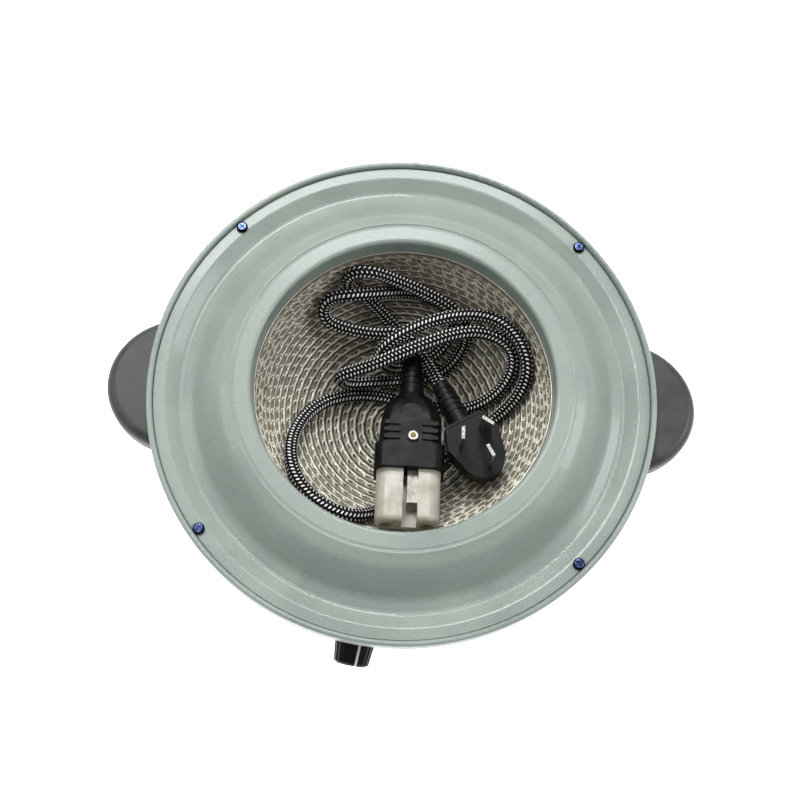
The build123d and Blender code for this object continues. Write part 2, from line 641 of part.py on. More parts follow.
with BuildPart() as potentiometer:
    with BuildSketch(KNOB_PLANE.offset(POT_FRONT)):
        Circle(POT_RADIUS)
        with Locations((0, -POT_RADIUS)):
            Rectangle(*POT_LUG)
    extrude(amount=-POT_DEPTH)
    fillet(potentiometer.edges().filter_by(GeomType.CIRCLE), radius=POT_FILLET)
    with BuildSketch(KNOB_PLANE.offset(POT_FRONT)):
        Circle(BUSHING_DIAMETER / 2)
    extrude(amount=BUSHING_TOP - POT_FRONT)
    with BuildSketch(KNOB_PLANE.offset(BUSHING_TOP)):
        Circle(SHAFT_DIAMETER / 2 + CLEARANCE)
    extrude(amount=SHAFT_BOTTOM - SHAFT_PLAY - BUSHING_TOP, mode=Mode.SUBTRACT)
potentiometer.part.label = "potentiometer"
export_step(potentiometer.part, "parts/potentiometer.step")

with BuildPart() as potentiometer_nut:
    with BuildSketch(KNOB_PLANE.offset(NUT_START)):
        RegularPolygon(NUT_RADIUS, 6, major_radius=False)
        Circle(BUSHING_DIAMETER / 2 + CLEARANCE / 2, mode=Mode.SUBTRACT)
    extrude(amount=NUT_HEIGHT)
potentiometer_nut.part.label = "potentiometer_nut"
export_step(potentiometer_nut.part, "parts/potentiometer_nut.step")

# ---- Power switch: snap-in frame, rocker on its stub axle, and three blade terminals ----
BEZEL_LENGTH = 21.0
BEZEL_WIDTH = 15.0
BEZEL_HEIGHT = 2.0
SWITCH_DEPTH = 14.0
WELL_LENGTH = 17.4
WELL_WIDTH = 11.0
WELL_DEPTH = 8.0
ROCKER_WIDTH = 10.4
ROCKER_HALF_LENGTH = 7.9
ROCKER_AXLE = 0.5
ROCKER_REST = 9.0
AXLE_LENGTH = 12.0
AXLE_RADIUS = 0.8
AXLE_HOLE_RADIUS = AXLE_RADIUS + CLEARANCE
AXLE_HOLE_LENGTH = AXLE_LENGTH + 0.4
BEZEL_CORNER = 1.5
BEZEL_TAPER = 15
ROCKER_LIP = 3.0
ROCKER_DIP = 1.9
ROCKER_SHOULDER = -0.6
ROCKER_HEEL = (4.0, -5.5)
TERMINAL_SPREAD = 6.0
TERMINAL_WIDTH = 4.8
TERMINAL_SHEET = 0.8
TERMINAL_LENGTH = 6.5

with BuildPart() as switch_frame:
    with BuildSketch(SWITCH_PLANE):
        RectangleRounded(BEZEL_WIDTH, BEZEL_LENGTH, BEZEL_CORNER)
    extrude(amount=BEZEL_HEIGHT, taper=BEZEL_TAPER)
    with BuildSketch(SWITCH_PLANE):
        Rectangle(SWITCH_WIDTH, SWITCH_LENGTH)
    extrude(amount=-SWITCH_DEPTH)
    with BuildSketch(SWITCH_PLANE.offset(BEZEL_HEIGHT)):
        Rectangle(WELL_WIDTH, WELL_LENGTH)
    extrude(amount=-WELL_DEPTH - BEZEL_HEIGHT, mode=Mode.SUBTRACT)
    with Locations(SWITCH_PLANE.offset(ROCKER_AXLE)):
        Cylinder(AXLE_HOLE_RADIUS, AXLE_HOLE_LENGTH, rotation=(0, 90, 0), mode=Mode.SUBTRACT)
switch_frame.part.label = "switch_frame"
export_step(switch_frame.part, "parts/switch_frame.step")

axle_plane = SWITCH_PLANE.offset(ROCKER_AXLE)
rocker_up = axle_plane.y_dir.rotate(Axis((0, 0, 0), axle_plane.x_dir), ROCKER_REST)
rocker_side = Plane(axle_plane.origin, x_dir=rocker_up, z_dir=axle_plane.x_dir)
with BuildPart() as switch_rocker:
    with BuildSketch(rocker_side):
        with BuildLine():
            Polyline(
                (-ROCKER_HEEL[0], ROCKER_HEEL[1]),
                ROCKER_HEEL,
                (ROCKER_HALF_LENGTH, ROCKER_SHOULDER),
                (ROCKER_HALF_LENGTH, ROCKER_LIP),
                (0, ROCKER_DIP),
                (-ROCKER_HALF_LENGTH, ROCKER_LIP),
                (-ROCKER_HALF_LENGTH, ROCKER_SHOULDER),
                close=True,
            )
        make_face()
    extrude(amount=ROCKER_WIDTH / 2, both=True)
    with BuildSketch(rocker_side):
        Circle(AXLE_RADIUS)
    extrude(amount=AXLE_LENGTH / 2, both=True)
switch_rocker.part.label = "switch_rocker"
export_step(switch_rocker.part, "parts/switch_rocker.step")

with BuildPart() as switch_terminals:
    with BuildSketch(SWITCH_PLANE.offset(-SWITCH_DEPTH)):
        with GridLocations(0, TERMINAL_SPREAD, 1, 3):
            Rectangle(TERMINAL_WIDTH, TERMINAL_SHEET)
    extrude(amount=-TERMINAL_LENGTH)
switch_terminals.part.label = "switch_terminals"
export_step(switch_terminals.part, "parts/switch_terminals.step")

# ---- Control board on pillars, with its triac, heat sink and capacitor ----
BOARD_PLACE = (0, -60)
BOARD_LENGTH = 60.0
BOARD_WIDTH = 38.0
BOARD_SHEET = 1.6
PILLAR_HEIGHT = 6.5
BOARD_BOTTOM = PLATE_TOP + PILLAR_HEIGHT
BOARD_TOP = BOARD_BOTTOM + BOARD_SHEET
BOARD_CORNER = 2.0
PILLAR_SPREAD = (BOARD_LENGTH - 8.0, BOARD_WIDTH - 8.0)
PILLAR_RADIUS = 3.0
STUD_RADIUS = 1.4
STUD_SPARE = 1.0
SINK_PLACE = (-12.0, -56.0)
SINK_WIDTH = 26.0
SINK_SHEET = 2.5
SINK_HEIGHT = 19.0
FIN_PITCH = 4.7
FIN_COUNT = 6
FIN_PLACE = 5.0
FIN_SHEET = 1.2
FIN_LENGTH = 8.0
TRIAC_WIDTH = 10.0
TRIAC_DEPTH = 4.6
TRIAC_HEIGHT = 9.5
TAB_SHEET = 1.4
TAB_HEIGHT = 15.0
LEG_PITCH = 2.54
LEG_SECTION = (0.8, 0.6)
LEG_HEIGHT = 3.0
LEG_OVERLAP = 1.0
CAPACITOR_PLACE = (15.0, -58.0)
CAPACITOR_SIZE = (18.0, 9.0)
CAPACITOR_HEIGHT = 14.0
CAPACITOR_CORNER = 1.0
CAPACITOR_FILLET = 0.8

with BuildPart() as board_pillars:
    with BuildSketch(Plane.XY.offset(PLATE_TOP)):
        with Locations(BOARD_PLACE):
            with GridLocations(*PILLAR_SPREAD, 2, 2):
                Circle(PILLAR_RADIUS)
    extrude(amount=PILLAR_HEIGHT)
    with BuildSketch(Plane.XY.offset(BOARD_BOTTOM)):
        with Locations(BOARD_PLACE):
            with GridLocations(*PILLAR_SPREAD, 2, 2):
                Circle(STUD_RADIUS)
    extrude(amount=BOARD_SHEET + STUD_SPARE)
board_pillars.part.label = "board_pillars"
export_step(board_pillars.part, "parts/board_pillars.step")

with BuildPart() as control_board:
    with BuildSketch(Plane.XY.offset(BOARD_BOTTOM)):
        with Locations(BOARD_PLACE):
            RectangleRounded(BOARD_LENGTH, BOARD_WIDTH, BOARD_CORNER)
            with GridLocations(*PILLAR_SPREAD, 2, 2):
                Circle(STUD_RADIUS + CLEARANCE, mode=Mode.SUBTRACT)
    extrude(amount=BOARD_SHEET)
control_board.part.label = "control_board"
export_step(control_board.part, "parts/control_board.step")

with BuildPart() as heat_sink:
    with BuildSketch(Plane.XY.offset(BOARD_TOP)):
        with Locations(SINK_PLACE):
            Rectangle(SINK_WIDTH, SINK_SHEET)
            with GridLocations(FIN_PITCH, 0, FIN_COUNT, 1):
                with Locations((0, FIN_PLACE)):
                    Rectangle(FIN_SHEET, FIN_LENGTH)
    extrude(amount=SINK_HEIGHT)
heat_sink.part.label = "heat_sink"
export_step(heat_sink.part, "parts/heat_sink.step")

triac_back = SINK_PLACE[1] - SINK_SHEET / 2
with BuildPart() as triac:
    with BuildSketch(Plane.XY.offset(BOARD_TOP + LEG_HEIGHT)):
        with Locations((SINK_PLACE[0], triac_back - TRIAC_DEPTH / 2)):
            Rectangle(TRIAC_WIDTH, TRIAC_DEPTH)
    extrude(amount=TRIAC_HEIGHT)
    with BuildSketch(Plane.XY.offset(BOARD_TOP + LEG_HEIGHT)):
        with Locations((SINK_PLACE[0], triac_back - TAB_SHEET / 2)):
            Rectangle(TRIAC_WIDTH, TAB_SHEET)
    extrude(amount=TAB_HEIGHT)
    with BuildSketch(Plane.XY.offset(BOARD_TOP)):
        with Locations((SINK_PLACE[0], triac_back - TRIAC_DEPTH / 2)):
            with GridLocations(LEG_PITCH, 0, 3, 1):
                Rectangle(*LEG_SECTION)
    extrude(amount=LEG_HEIGHT + LEG_OVERLAP)
triac.part.label = "triac"
export_step(triac.part, "parts/triac.step")

with BuildPart() as capacitor:
    with BuildSketch(Plane.XY.offset(BOARD_TOP)):
        with Locations(CAPACITOR_PLACE):
            RectangleRounded(*CAPACITOR_SIZE, CAPACITOR_CORNER)
    extrude(amount=CAPACITOR_HEIGHT)
    fillet(capacitor.faces().sort_by(Axis.Z)[-1].edges(), radius=CAPACITOR_FILLET)
capacitor.part.label = "capacitor"
export_step(capacitor.part, "parts/capacitor.step")

# ---- Appliance inlet at the back: moulded saddle and shroud, two round pins and an earth tongue ----
INLET_BACK = 93.5
INLET_END = 127.5
SADDLE_WIDTH = 58.0
SADDLE_HEIGHT = 34.0
SADDLE_FACE = 111.0
SHROUD_WALL = 2.2
SHROUD_FLOOR = 3.0
WELL_OPENING = INLET_WIDTH - 2 * SHROUD_WALL
WELL_OPENING_HEIGHT = INLET_DEPTH - 2 * SHROUD_WALL
SADDLE_CORNER = 6.0
TONGUE_HEIGHT = INLET_HEIGHT + 2.0
TONGUE_WIDTH = 5.0
TONGUE_SHEET = 1.5
PIN_SPREAD = 9.75
PIN_RADIUS = 3.0
PIN_TAIL = 86.0
PIN_END = 124.0
PIN_CHAMFER = 1.0
INLET_SCREW_LENGTH = 14.0

inlet_face = Plane.XZ.offset(-INLET_END)
with BuildPart() as appliance_inlet:
    with BuildSketch(Plane.XZ.offset(-SADDLE_FACE)):
        with Locations((0, INLET_HEIGHT)):
            RectangleRounded(SADDLE_WIDTH, SADDLE_HEIGHT, SADDLE_CORNER)
    extrude(amount=SADDLE_FACE - INLET_BACK)
    with BuildSketch(Plane.XZ):
        with BuildLine():
            Polyline(
                (0, PLATE_TOP),
                (WALL_BOTTOM_RADIUS + CLEARANCE, PLATE_TOP),
                (WALL_TOP_RADIUS + CLEARANCE, WALL_TOP),
                (0, WALL_TOP),
                close=True,
            )
        make_face()
    revolve(axis=Axis.Z, mode=Mode.SUBTRACT)
    with BuildSketch(Plane.XZ.offset(-SADDLE_FACE)):
        with Locations((-INLET_SCREW_SPREAD, INLET_HEIGHT), (INLET_SCREW_SPREAD, INLET_HEIGHT)):
            Circle(SCREW_HOLE / 2)
    extrude(amount=SADDLE_FACE - INLET_BACK, mode=Mode.SUBTRACT)
    with BuildSketch(inlet_face):
        with Locations((0, INLET_HEIGHT)):
            RectangleRounded(INLET_WIDTH, INLET_DEPTH, INLET_CORNER)
    extrude(amount=INLET_END - INLET_BACK)
    with BuildSketch(inlet_face):
        with Locations((0, INLET_HEIGHT)):
            RectangleRounded(WELL_OPENING, WELL_OPENING_HEIGHT, INLET_CORNER - SHROUD_WALL)
    extrude(amount=INLET_END - INLET_BACK - SHROUD_FLOOR, mode=Mode.SUBTRACT)
    with BuildSketch(inlet_face):
        with Locations((-PIN_SPREAD, INLET_HEIGHT), (PIN_SPREAD, INLET_HEIGHT)):
            Circle(PIN_RADIUS)
        with Locations((0, TONGUE_HEIGHT)):
            Rectangle(TONGUE_WIDTH, TONGUE_SHEET)
    extrude(amount=INLET_END - INLET_BACK + 1, mode=Mode.SUBTRACT)
appliance_inlet.part.label = "appliance_inlet"
export_step(appliance_inlet.part, "parts/appliance_inlet.step")

with BuildPart() as inlet_pins:
    with BuildSketch(Plane.XZ.offset(-PIN_END)):
        with Locations((-PIN_SPREAD, INLET_HEIGHT), (PIN_SPREAD, INLET_HEIGHT)):
            Circle(PIN_RADIUS)
    extrude(amount=PIN_END - PIN_TAIL)
    chamfer(inlet_pins.faces().sort_by(Axis.Y)[-2:].edges(), PIN_CHAMFER)
inlet_pins.part.label = "inlet_pins"
export_step(inlet_pins.part, "parts/inlet_pins.step")

with BuildPart() as inlet_earth_tongue:
    with BuildSketch(Plane.XZ.offset(-PIN_END)):
        with Locations((0, TONGUE_HEIGHT)):
            Rectangle(TONGUE_WIDTH, TONGUE_SHEET)
    extrude(amount=PIN_END - PIN_TAIL)
inlet_earth_tongue.part.label = "inlet_earth_tongue"
export_step(inlet_earth_tongue.part, "parts/inlet_earth_tongue.step")

with BuildPart() as inlet_screws:
    with BuildSketch(Plane.XZ.offset(-SADDLE_FACE)):
        with Locations((-INLET_SCREW_SPREAD, INLET_HEIGHT), (INLET_SCREW_SPREAD, INLET_HEIGHT)):
            Circle(SCREW_HEAD_RADIUS)
    extrude(amount=-SCREW_HEAD)
    fillet(inlet_screws.faces().sort_by(Axis.Y)[-2:].edges(), radius=HEAD_FILLET)
    with BuildSketch(Plane.XZ.offset(-SADDLE_FACE)):
        with Locations((-INLET_SCREW_SPREAD, INLET_HEIGHT), (INLET_SCREW_SPREAD, INLET_HEIGHT)):
            Circle(SCREW_DIAMETER / 2)
    extrude(amount=INLET_SCREW_LENGTH)
inlet_screws.part.label = "inlet_screws"
export_step(inlet_screws.part, "parts/inlet_screws.step")

# ---- Appliance connector: moulded body, ceramic nose, boot, socket sleeves, earth spring and screw ----
CONNECTOR_TILT = 6.1
BODY_START = (5.0, 6.5, 93.4)
BODY_LENGTH = 42.0
BAND_START = 29.5
NOSE_WIDTH = 31.5
NOSE_HEIGHT = 17.0
NOSE_LENGTH = 26.5
SLOT_LEFT = -2.7
SLOT_RIGHT = 4.6
SLOT_FLOOR = -1.5
BAND_SIZE = (34.4, 24.0, 5.0)
RIB_STATIONS = (19.0, 22.8, 26.6)
RIB_SIDES = (-9.0, 9.5)
RIB_SIZE = (8.0, 2.0, 0.8)
RIB_ROOT = 8.0
RIB_TOP = 11.7
BADGE_PLACE = (0, -12.0)
BADGE_RADII = (5.2, 3.6)
BADGE_ROOT = 7.0
BADGE_TOP = 10.9
BODY_SCREW_PLACE = (1.2, -26.0)
BODY_SCREW_RADIUS = 1.5
BODY_SCREW_BOTTOM = 2.0
BODY_TOP = 14.0
HEAD_RADIUS = 2.7
HEAD_BOTTOM = 11.2
HEAD_HEIGHT = 1.3
NOSE_CORNER = 5.5
NOSE_FILLET = 2.6
SOCKET_PLAY = 0.5
SOCKET_DEPTH = 22.0
SLEEVE_RADIUS = PIN_RADIUS + 0.45
SLEEVE_RECESS = 2.0
SLEEVE_LENGTH = 18.0
BOOT_LENGTH = 22.6
BOOT_RADII = (6.6, 4.4)
BOOT_GROOVES = 5
GROOVE_START = 4.5
GROOVE_PITCH = 3.4
GROOVE_WIDTH = 1.3
GROOVE_RADIUS = 5.55
GROOVE_SHRINK = 0.33
CUTTER_RADIUS = 8.0
BODY_SECTIONS = ((0, 13.6, 13.6, 6.0), (5, 22.0, 17.0, 6.0), (10, 26.6, 20.0, 6.0),
                 (20, 30.0, 21.6, 5.5), (BAND_START, 31.4, 22.0, 5.0))

tilt = math.radians(CONNECTOR_TILT)
connector_axis = Plane(origin=BODY_START, x_dir=(1, 0, 0), z_dir=(0, -math.cos(tilt), math.sin(tilt)))
nose_plane = connector_axis.offset(BODY_LENGTH)
top_plane = Plane(origin=BODY_START, x_dir=(1, 0, 0), z_dir=connector_axis.y_dir)

with BuildPart() as connector_body:
    for station, width, height, radius in BODY_SECTIONS:
        with BuildSketch(connector_axis.offset(station)):
            RectangleRounded(width, height, radius)
    loft()
    with BuildSketch(connector_axis.offset(BAND_START)):
        RectangleRounded(*BAND_SIZE)
    extrude(amount=BODY_LENGTH - BAND_START)
    with BuildSketch(top_plane.offset(RIB_ROOT)):
        for station in RIB_STATIONS:
            with Locations(*[(side, -station) for side in RIB_SIDES]):
                RectangleRounded(*RIB_SIZE)
    extrude(amount=RIB_TOP - RIB_ROOT)
    with BuildSketch(top_plane.offset(BADGE_ROOT)):
        with Locations(BADGE_PLACE):
            Ellipse(*BADGE_RADII)
    extrude(amount=BADGE_TOP - BADGE_ROOT)
    with BuildSketch(top_plane.offset(BODY_TOP)):
        with Locations(BODY_SCREW_PLACE):
            Circle(BODY_SCREW_RADIUS + CLEARANCE)
    extrude(amount=BODY_SCREW_BOTTOM - BODY_TOP, mode=Mode.SUBTRACT)
connector_body.part.label = "connector_body"
export_step(connector_body.part, "parts/connector_body.step")

with BuildPart() as connector_nose:
    with BuildSketch(nose_plane):
        RectangleRounded(NOSE_WIDTH, NOSE_HEIGHT, NOSE_CORNER)
    extrude(amount=NOSE_LENGTH)
    fillet(connector_nose.faces().sort_by(Axis.Y)[0].edges(), radius=NOSE_FILLET)
    with BuildSketch(nose_plane):
        with Locations(((SLOT_LEFT + SLOT_RIGHT) / 2, SLOT_FLOOR + NOSE_HEIGHT / 2)):
            Rectangle(SLOT_RIGHT - SLOT_LEFT, NOSE_HEIGHT)
    extrude(amount=NOSE_LENGTH, mode=Mode.SUBTRACT)
    with BuildSketch(nose_plane.offset(NOSE_LENGTH)):
        with Locations((-PIN_SPREAD, 0), (PIN_SPREAD, 0)):
            Circle(PIN_RADIUS + SOCKET_PLAY)
    extrude(amount=-SOCKET_DEPTH, mode=Mode.SUBTRACT)
connector_nose.part.label = "connector_nose"
export_step(connector_nose.part, "parts/connector_nose.step")

with BuildPart() as connector_sleeves:
    with BuildSketch(nose_plane.offset(NOSE_LENGTH - SLEEVE_RECESS)):
        with Locations((-PIN_SPREAD, 0), (PIN_SPREAD, 0)):
            Circle(SLEEVE_RADIUS)
            Circle(PIN_RADIUS + CLEARANCE, mode=Mode.SUBTRACT)
    extrude(amount=-SLEEVE_LENGTH)
connector_sleeves.part.label = "connector_sleeves"
export_step(connector_sleeves.part, "parts/connector_sleeves.step")

SPRING_WIDTH = 5.2
SPRING_TOP = 6.0
SPRING_SHEET = 0.8
SPRING_SIDE = 4.6
SPRING_BEND = BODY_LENGTH + 16.5
SPRING_TIP = BODY_LENGTH + 18.5
SPRING_DROP = 6.0
spring_side = Plane(origin=BODY_START, x_dir=connector_axis.z_dir, z_dir=(-1, 0, 0)).offset(-SPRING_SIDE)
with BuildPart() as connector_earth_spring:
    with BuildSketch(spring_side):
        with BuildLine():
            Polyline(
                (BODY_LENGTH, SPRING_TOP),
                (SPRING_BEND, SPRING_TOP),
                (SPRING_TIP, SPRING_TOP - SPRING_DROP),
                (SPRING_TIP - SPRING_SHEET, SPRING_TOP - SPRING_DROP),
                (SPRING_BEND - SPRING_SHEET, SPRING_TOP - SPRING_SHEET),
                (BODY_LENGTH, SPRING_TOP - SPRING_SHEET),
                close=True,
            )
        make_face()
    extrude(amount=SPRING_WIDTH)
connector_earth_spring.part.label = "connector_earth_spring"
export_step(connector_earth_spring.part, "parts/connector_earth_spring.step")

with BuildPart() as connector_screw:
    with BuildSketch(top_plane.offset(HEAD_BOTTOM)):
        with Locations(BODY_SCREW_PLACE):
            Circle(HEAD_RADIUS)
    extrude(amount=HEAD_HEIGHT)
    fillet(connector_screw.faces().sort_by(Axis.Z)[-1].edges(), radius=HEAD_HEIGHT / 2)
    with BuildSketch(top_plane.offset(HEAD_BOTTOM)):
        with Locations(BODY_SCREW_PLACE):
            Circle(BODY_SCREW_RADIUS)
    extrude(amount=BODY_SCREW_BOTTOM + CLEARANCE - HEAD_BOTTOM)
connector_screw.part.label = "connector_screw"
export_step(connector_screw.part, "parts/connector_screw.step")

with BuildPart() as connector_boot:
    with BuildSketch(connector_axis):
        Circle(BOOT_RADII[0])
    with BuildSketch(connector_axis.offset(-BOOT_LENGTH)):
        Circle(BOOT_RADII[1])
    loft()
    for groove in range(BOOT_GROOVES):
        with BuildSketch(connector_axis.offset(-GROOVE_START - GROOVE_PITCH * groove)):
            Circle(CUTTER_RADIUS)
            Circle(GROOVE_RADIUS - GROOVE_SHRINK * groove, mode=Mode.SUBTRACT)
        extrude(amount=-GROOVE_WIDTH, mode=Mode.SUBTRACT)
connector_boot.part.label = "connector_boot"
export_step(connector_boot.part, "parts/connector_boot.step")

# ---- Mains plug: moulded shield-shaped body with its boot, two angled flat blades and an earth blade ----
PLUG_PLACE = (35.7, -15.2)
PLUG_TOP = 102.0
PLUG_DIRECTION = (0.504, -0.864, 0)
PLUG_DEPTH = 18.5
PLUG_SKIRT = 6.0
BLADE_SPREAD = 6.85
EARTH_PLACE = 14.27
BLADE_WIDTH = 6.35
BLADE_SHEET = 1.6
BLADE_LENGTH = 17.0
EARTH_LENGTH = 20.0
BLADE_ROOT = 4.0
BOOT_START = (30.4, -6.1, 92.5)
CORD_END = (19.5, 16.0, 87.0)
PLUG_HALF = ((-10.5, 9.8), (1.0, 14.0), (15.0, 10.5), (21.5, 5.0))
PLUG_OUTLINE = PLUG_HALF + tuple((x, -y) for x, y in reversed(PLUG_HALF))
PLUG_FILLET = 2.2
SKIRT_TAPER = 35
FACE_MARGIN = 1.3
FACE_RECESS = 0.4
BLADE_TURN = 30
PLUG_BOOT_RADII = (6.4, 4.3)
PLUG_BOOT_ROOT = 4.0
PLUG_GROOVE_START = 5.0
PLUG_GROOVE_PITCH = 3.6
PLUG_GROOVE_WIDTH = 1.4
PLUG_GROOVE_RADIUS = 5.1
PLUG_GROOVE_SHRINK = 0.25

plug_plane = Plane(origin=(*PLUG_PLACE, PLUG_TOP), x_dir=PLUG_DIRECTION, z_dir=(0, 0, 1))
boot_direction = Vector(*CORD_END) - Vector(*BOOT_START)
boot_plane = Plane(origin=BOOT_START, z_dir=boot_direction.normalized())

with BuildSketch() as shield:
    Polygon(*PLUG_OUTLINE, align=None)
    fillet(shield.vertices(), radius=PLUG_FILLET)


def place_blades():
    """The live and neutral blades' sections, inside a sketch."""
    for side in (-1, 1):
        with Locations(Location((0, side * BLADE_SPREAD), side * BLADE_TURN)):
            Rectangle(BLADE_WIDTH, BLADE_SHEET)


with BuildPart() as plug_body:
    with BuildSketch(plug_plane):
        add(shield.sketch_local)
    extrude(amount=PLUG_SKIRT - PLUG_DEPTH)
    with BuildSketch(plug_plane.offset(PLUG_SKIRT - PLUG_DEPTH)):
        add(shield.sketch_local)
    extrude(amount=-PLUG_SKIRT, taper=SKIRT_TAPER)
    with BuildSketch(plug_plane):
        add(shield.sketch_local)
        offset(amount=-FACE_MARGIN)
    extrude(amount=-FACE_RECESS, mode=Mode.SUBTRACT)
    with BuildSketch(boot_plane.offset(-PLUG_BOOT_ROOT)):
        Circle(PLUG_BOOT_RADII[0])
    with BuildSketch(boot_plane.offset(boot_direction.length)):
        Circle(PLUG_BOOT_RADII[1])
    loft()
    for groove in range(BOOT_GROOVES):
        with BuildSketch(boot_plane.offset(PLUG_GROOVE_START + PLUG_GROOVE_PITCH * groove)):
            Circle(CUTTER_RADIUS)
            Circle(PLUG_GROOVE_RADIUS - PLUG_GROOVE_SHRINK * groove, mode=Mode.SUBTRACT)
        extrude(amount=PLUG_GROOVE_WIDTH, mode=Mode.SUBTRACT)
    with BuildSketch(plug_plane):
        place_blades()
        with Locations((EARTH_PLACE, 0)):
            Rectangle(BLADE_WIDTH, BLADE_SHEET)
    extrude(amount=-BLADE_ROOT, mode=Mode.SUBTRACT)
plug_body.part.label = "plug_body"
export_step(plug_body.part, "parts/plug_body.step")

with BuildPart() as plug_blades:
    with BuildSketch(plug_plane.offset(-BLADE_ROOT)):
        place_blades()
    extrude(amount=BLADE_ROOT + BLADE_LENGTH)
plug_blades.part.label = "plug_blades"
export_step(plug_blades.part, "parts/plug_blades.step")

with BuildPart() as plug_earth_blade:
    with BuildSketch(plug_plane.offset(-BLADE_ROOT)):
        with Locations((EARTH_PLACE, 0)):
            Rectangle(BLADE_WIDTH, BLADE_SHEET)
    extrude(amount=BLADE_ROOT + EARTH_LENGTH)
plug_earth_blade.part.label = "plug_earth_blade"
export_step(plug_earth_blade.part, "parts/plug_earth_blade.step")

# ---- Mains cord: one limp braided cord folded in the cup, from the connector's boot to the plug's ----
CORD_ROUTE = (
    (5, 29, 91), (5, 35, 91.5), (1.5, 40, 91.5), (-4.5, 41.5, 92), (-14, 40, 92.5), (-26, 40.5, 94),
    (-37, 42, 97), (-41.5, 45, 100.5), (-41.5, 49.5, 105), (-37, 52.5, 108.5), (-27, 53, 111),
    (-13, 57, 106), (1, 62, 98.5), (13, 60.5, 95.5), (21.5, 56, 94), (26.5, 51.5, 89),
    (24.5, 45.5, 83.5), (19.5, 39.5, 77.5), (12, 34, 72.5), (0, 30.5, 71.5), (-8.5, 27, 79.5),
    (-12.5, 28, 88.5), (-10.5, 31, 97.5), (-3.5, 35.5, 103), (8, 41.5, 105), (21, 46, 106),
    (35, 47.5, 107.5), (48, 44, 109.5), (58, 34, 109.5), (63, 21.5, 105.5), (60, 11, 95),
    (51.5, 3.5, 83), (39, -4.5, 74), (25, -16.5, 69.5), (10, -32, 71), (-5, -48, 80.5),
    (-14.5, -54.5, 89.5), (-24.5, -57, 97), (-38, -52.5, 100.5), (-50, -41, 100), (-54.5, -25, 94),
    (-52, -8.5, 84.5), (-42.5, 6, 76.5), (-28, 13.5, 70.5), (-12, 15.5, 66.5), (5, 12.5, 65),
    (22, 9.5, 67.5), (37, 8.5, 73.5), (49, 13.5, 82.5), (56, 22, 93), (56, 30.5, 100),
    (50, 36.5, 103), (38, 40, 104), (24.5, 37.5, 104.5), (11.5, 32, 104.5), (-1.5, 26.5, 102.5),
    (-13.5, 21.5, 99), (-22, 19.5, 95), (-29.5, 18, 91), (-32.5, 17.5, 84.5), (-29.5, 17.5, 77.5),
    (-22.5, 18.5, 75), (-10, 21, 72.5), (3, 23.5, 69), (15, 25.5, 69.5), (24, 30, 73.5),
    (30, 36.5, 79.5), (33, 43.5, 87.5), (30, 48.5, 97), (20, 54.5, 103.5), (7, 59, 107.5),
    (-5, 61.5, 112.5), (-13.5, 62.5, 117), (-19, 62.5, 119.5), (-25.5, 62.5, 119),
    (-30, 61.5, 114.5), (-30, 60, 108), (-26, 59.5, 103), (-19, 57, 97), (-12, 53, 89),
    (-4.5, 46.5, 86), (3.5, 40, 84), (10, 32.5, 83.5), (15, 25, 84.5), CORD_END,
)


BEND_SHARE = 0.45


def bend_radius(before, at, after):
    """Radius whose arc takes the same share of the shorter run at every corner of the route."""
    first = Vector(*at) - Vector(*before)
    second = Vector(*after) - Vector(*at)
    half_turn = math.radians(first.get_angle(second) / 2)
    return BEND_SHARE * min(first.length, second.length) / math.tan(half_turn)


bend_radii = [bend_radius(*CORD_ROUTE[i - 1:i + 2]) for i in range(1, len(CORD_ROUTE) - 1)]

with BuildPart() as mains_cord:
    with BuildLine():
        cord_line = FilletPolyline(*CORD_ROUTE, radius=tuple(bend_radii))
    with BuildSketch(Plane(origin=cord_line @ 0, z_dir=cord_line % 0)):
        Circle(CORD_DIAMETER / 2)
    sweep()
mains_cord.part.label = "mains_cord"
export_step(mains_cord.part, "parts/mains_cord.step")
print("cord length", round(cord_line.length, 1), "bend radii", [round(radius, 1) for radius in bend_radii])
print("cord volume over section times length",
      round(mains_cord.part.volume / (cord_line.length * math.pi * CORD_DIAMETER**2 / 4), 4))
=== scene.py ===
import math

import bpy
import numpy as np
from mathutils import Matrix, Vector


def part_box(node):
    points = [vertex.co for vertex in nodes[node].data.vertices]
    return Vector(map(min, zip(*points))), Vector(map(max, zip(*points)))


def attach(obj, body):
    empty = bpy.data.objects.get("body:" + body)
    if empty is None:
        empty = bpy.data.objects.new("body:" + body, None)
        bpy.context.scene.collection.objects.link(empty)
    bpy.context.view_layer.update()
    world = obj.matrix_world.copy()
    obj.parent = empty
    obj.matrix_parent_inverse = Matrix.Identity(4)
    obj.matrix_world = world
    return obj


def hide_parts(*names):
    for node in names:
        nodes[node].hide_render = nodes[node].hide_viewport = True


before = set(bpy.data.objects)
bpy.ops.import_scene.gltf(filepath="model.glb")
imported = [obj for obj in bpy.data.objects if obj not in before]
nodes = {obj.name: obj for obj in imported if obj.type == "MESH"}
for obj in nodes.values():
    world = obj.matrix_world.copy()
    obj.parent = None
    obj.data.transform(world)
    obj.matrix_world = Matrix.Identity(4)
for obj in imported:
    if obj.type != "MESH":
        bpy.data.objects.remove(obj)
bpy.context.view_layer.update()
scene = bpy.context.scene
MM = 0.001

# ---------------------------------------------------------------- camera
CAMERA_TARGET = Vector((0, 0, 0.125))
CAMERA_DISTANCE = 0.620
CAMERA_AZIMUTH = math.radians(-4)
CAMERA_ELEVATION = math.radians(70.83)
CAMERA_ROLL = math.radians(6.8)
IMAGE_SIDE = 800
IMAGE_CENTRE = (403.46, 388.3)
FOCAL_PIXELS = 1294.25
SENSOR = 36.0

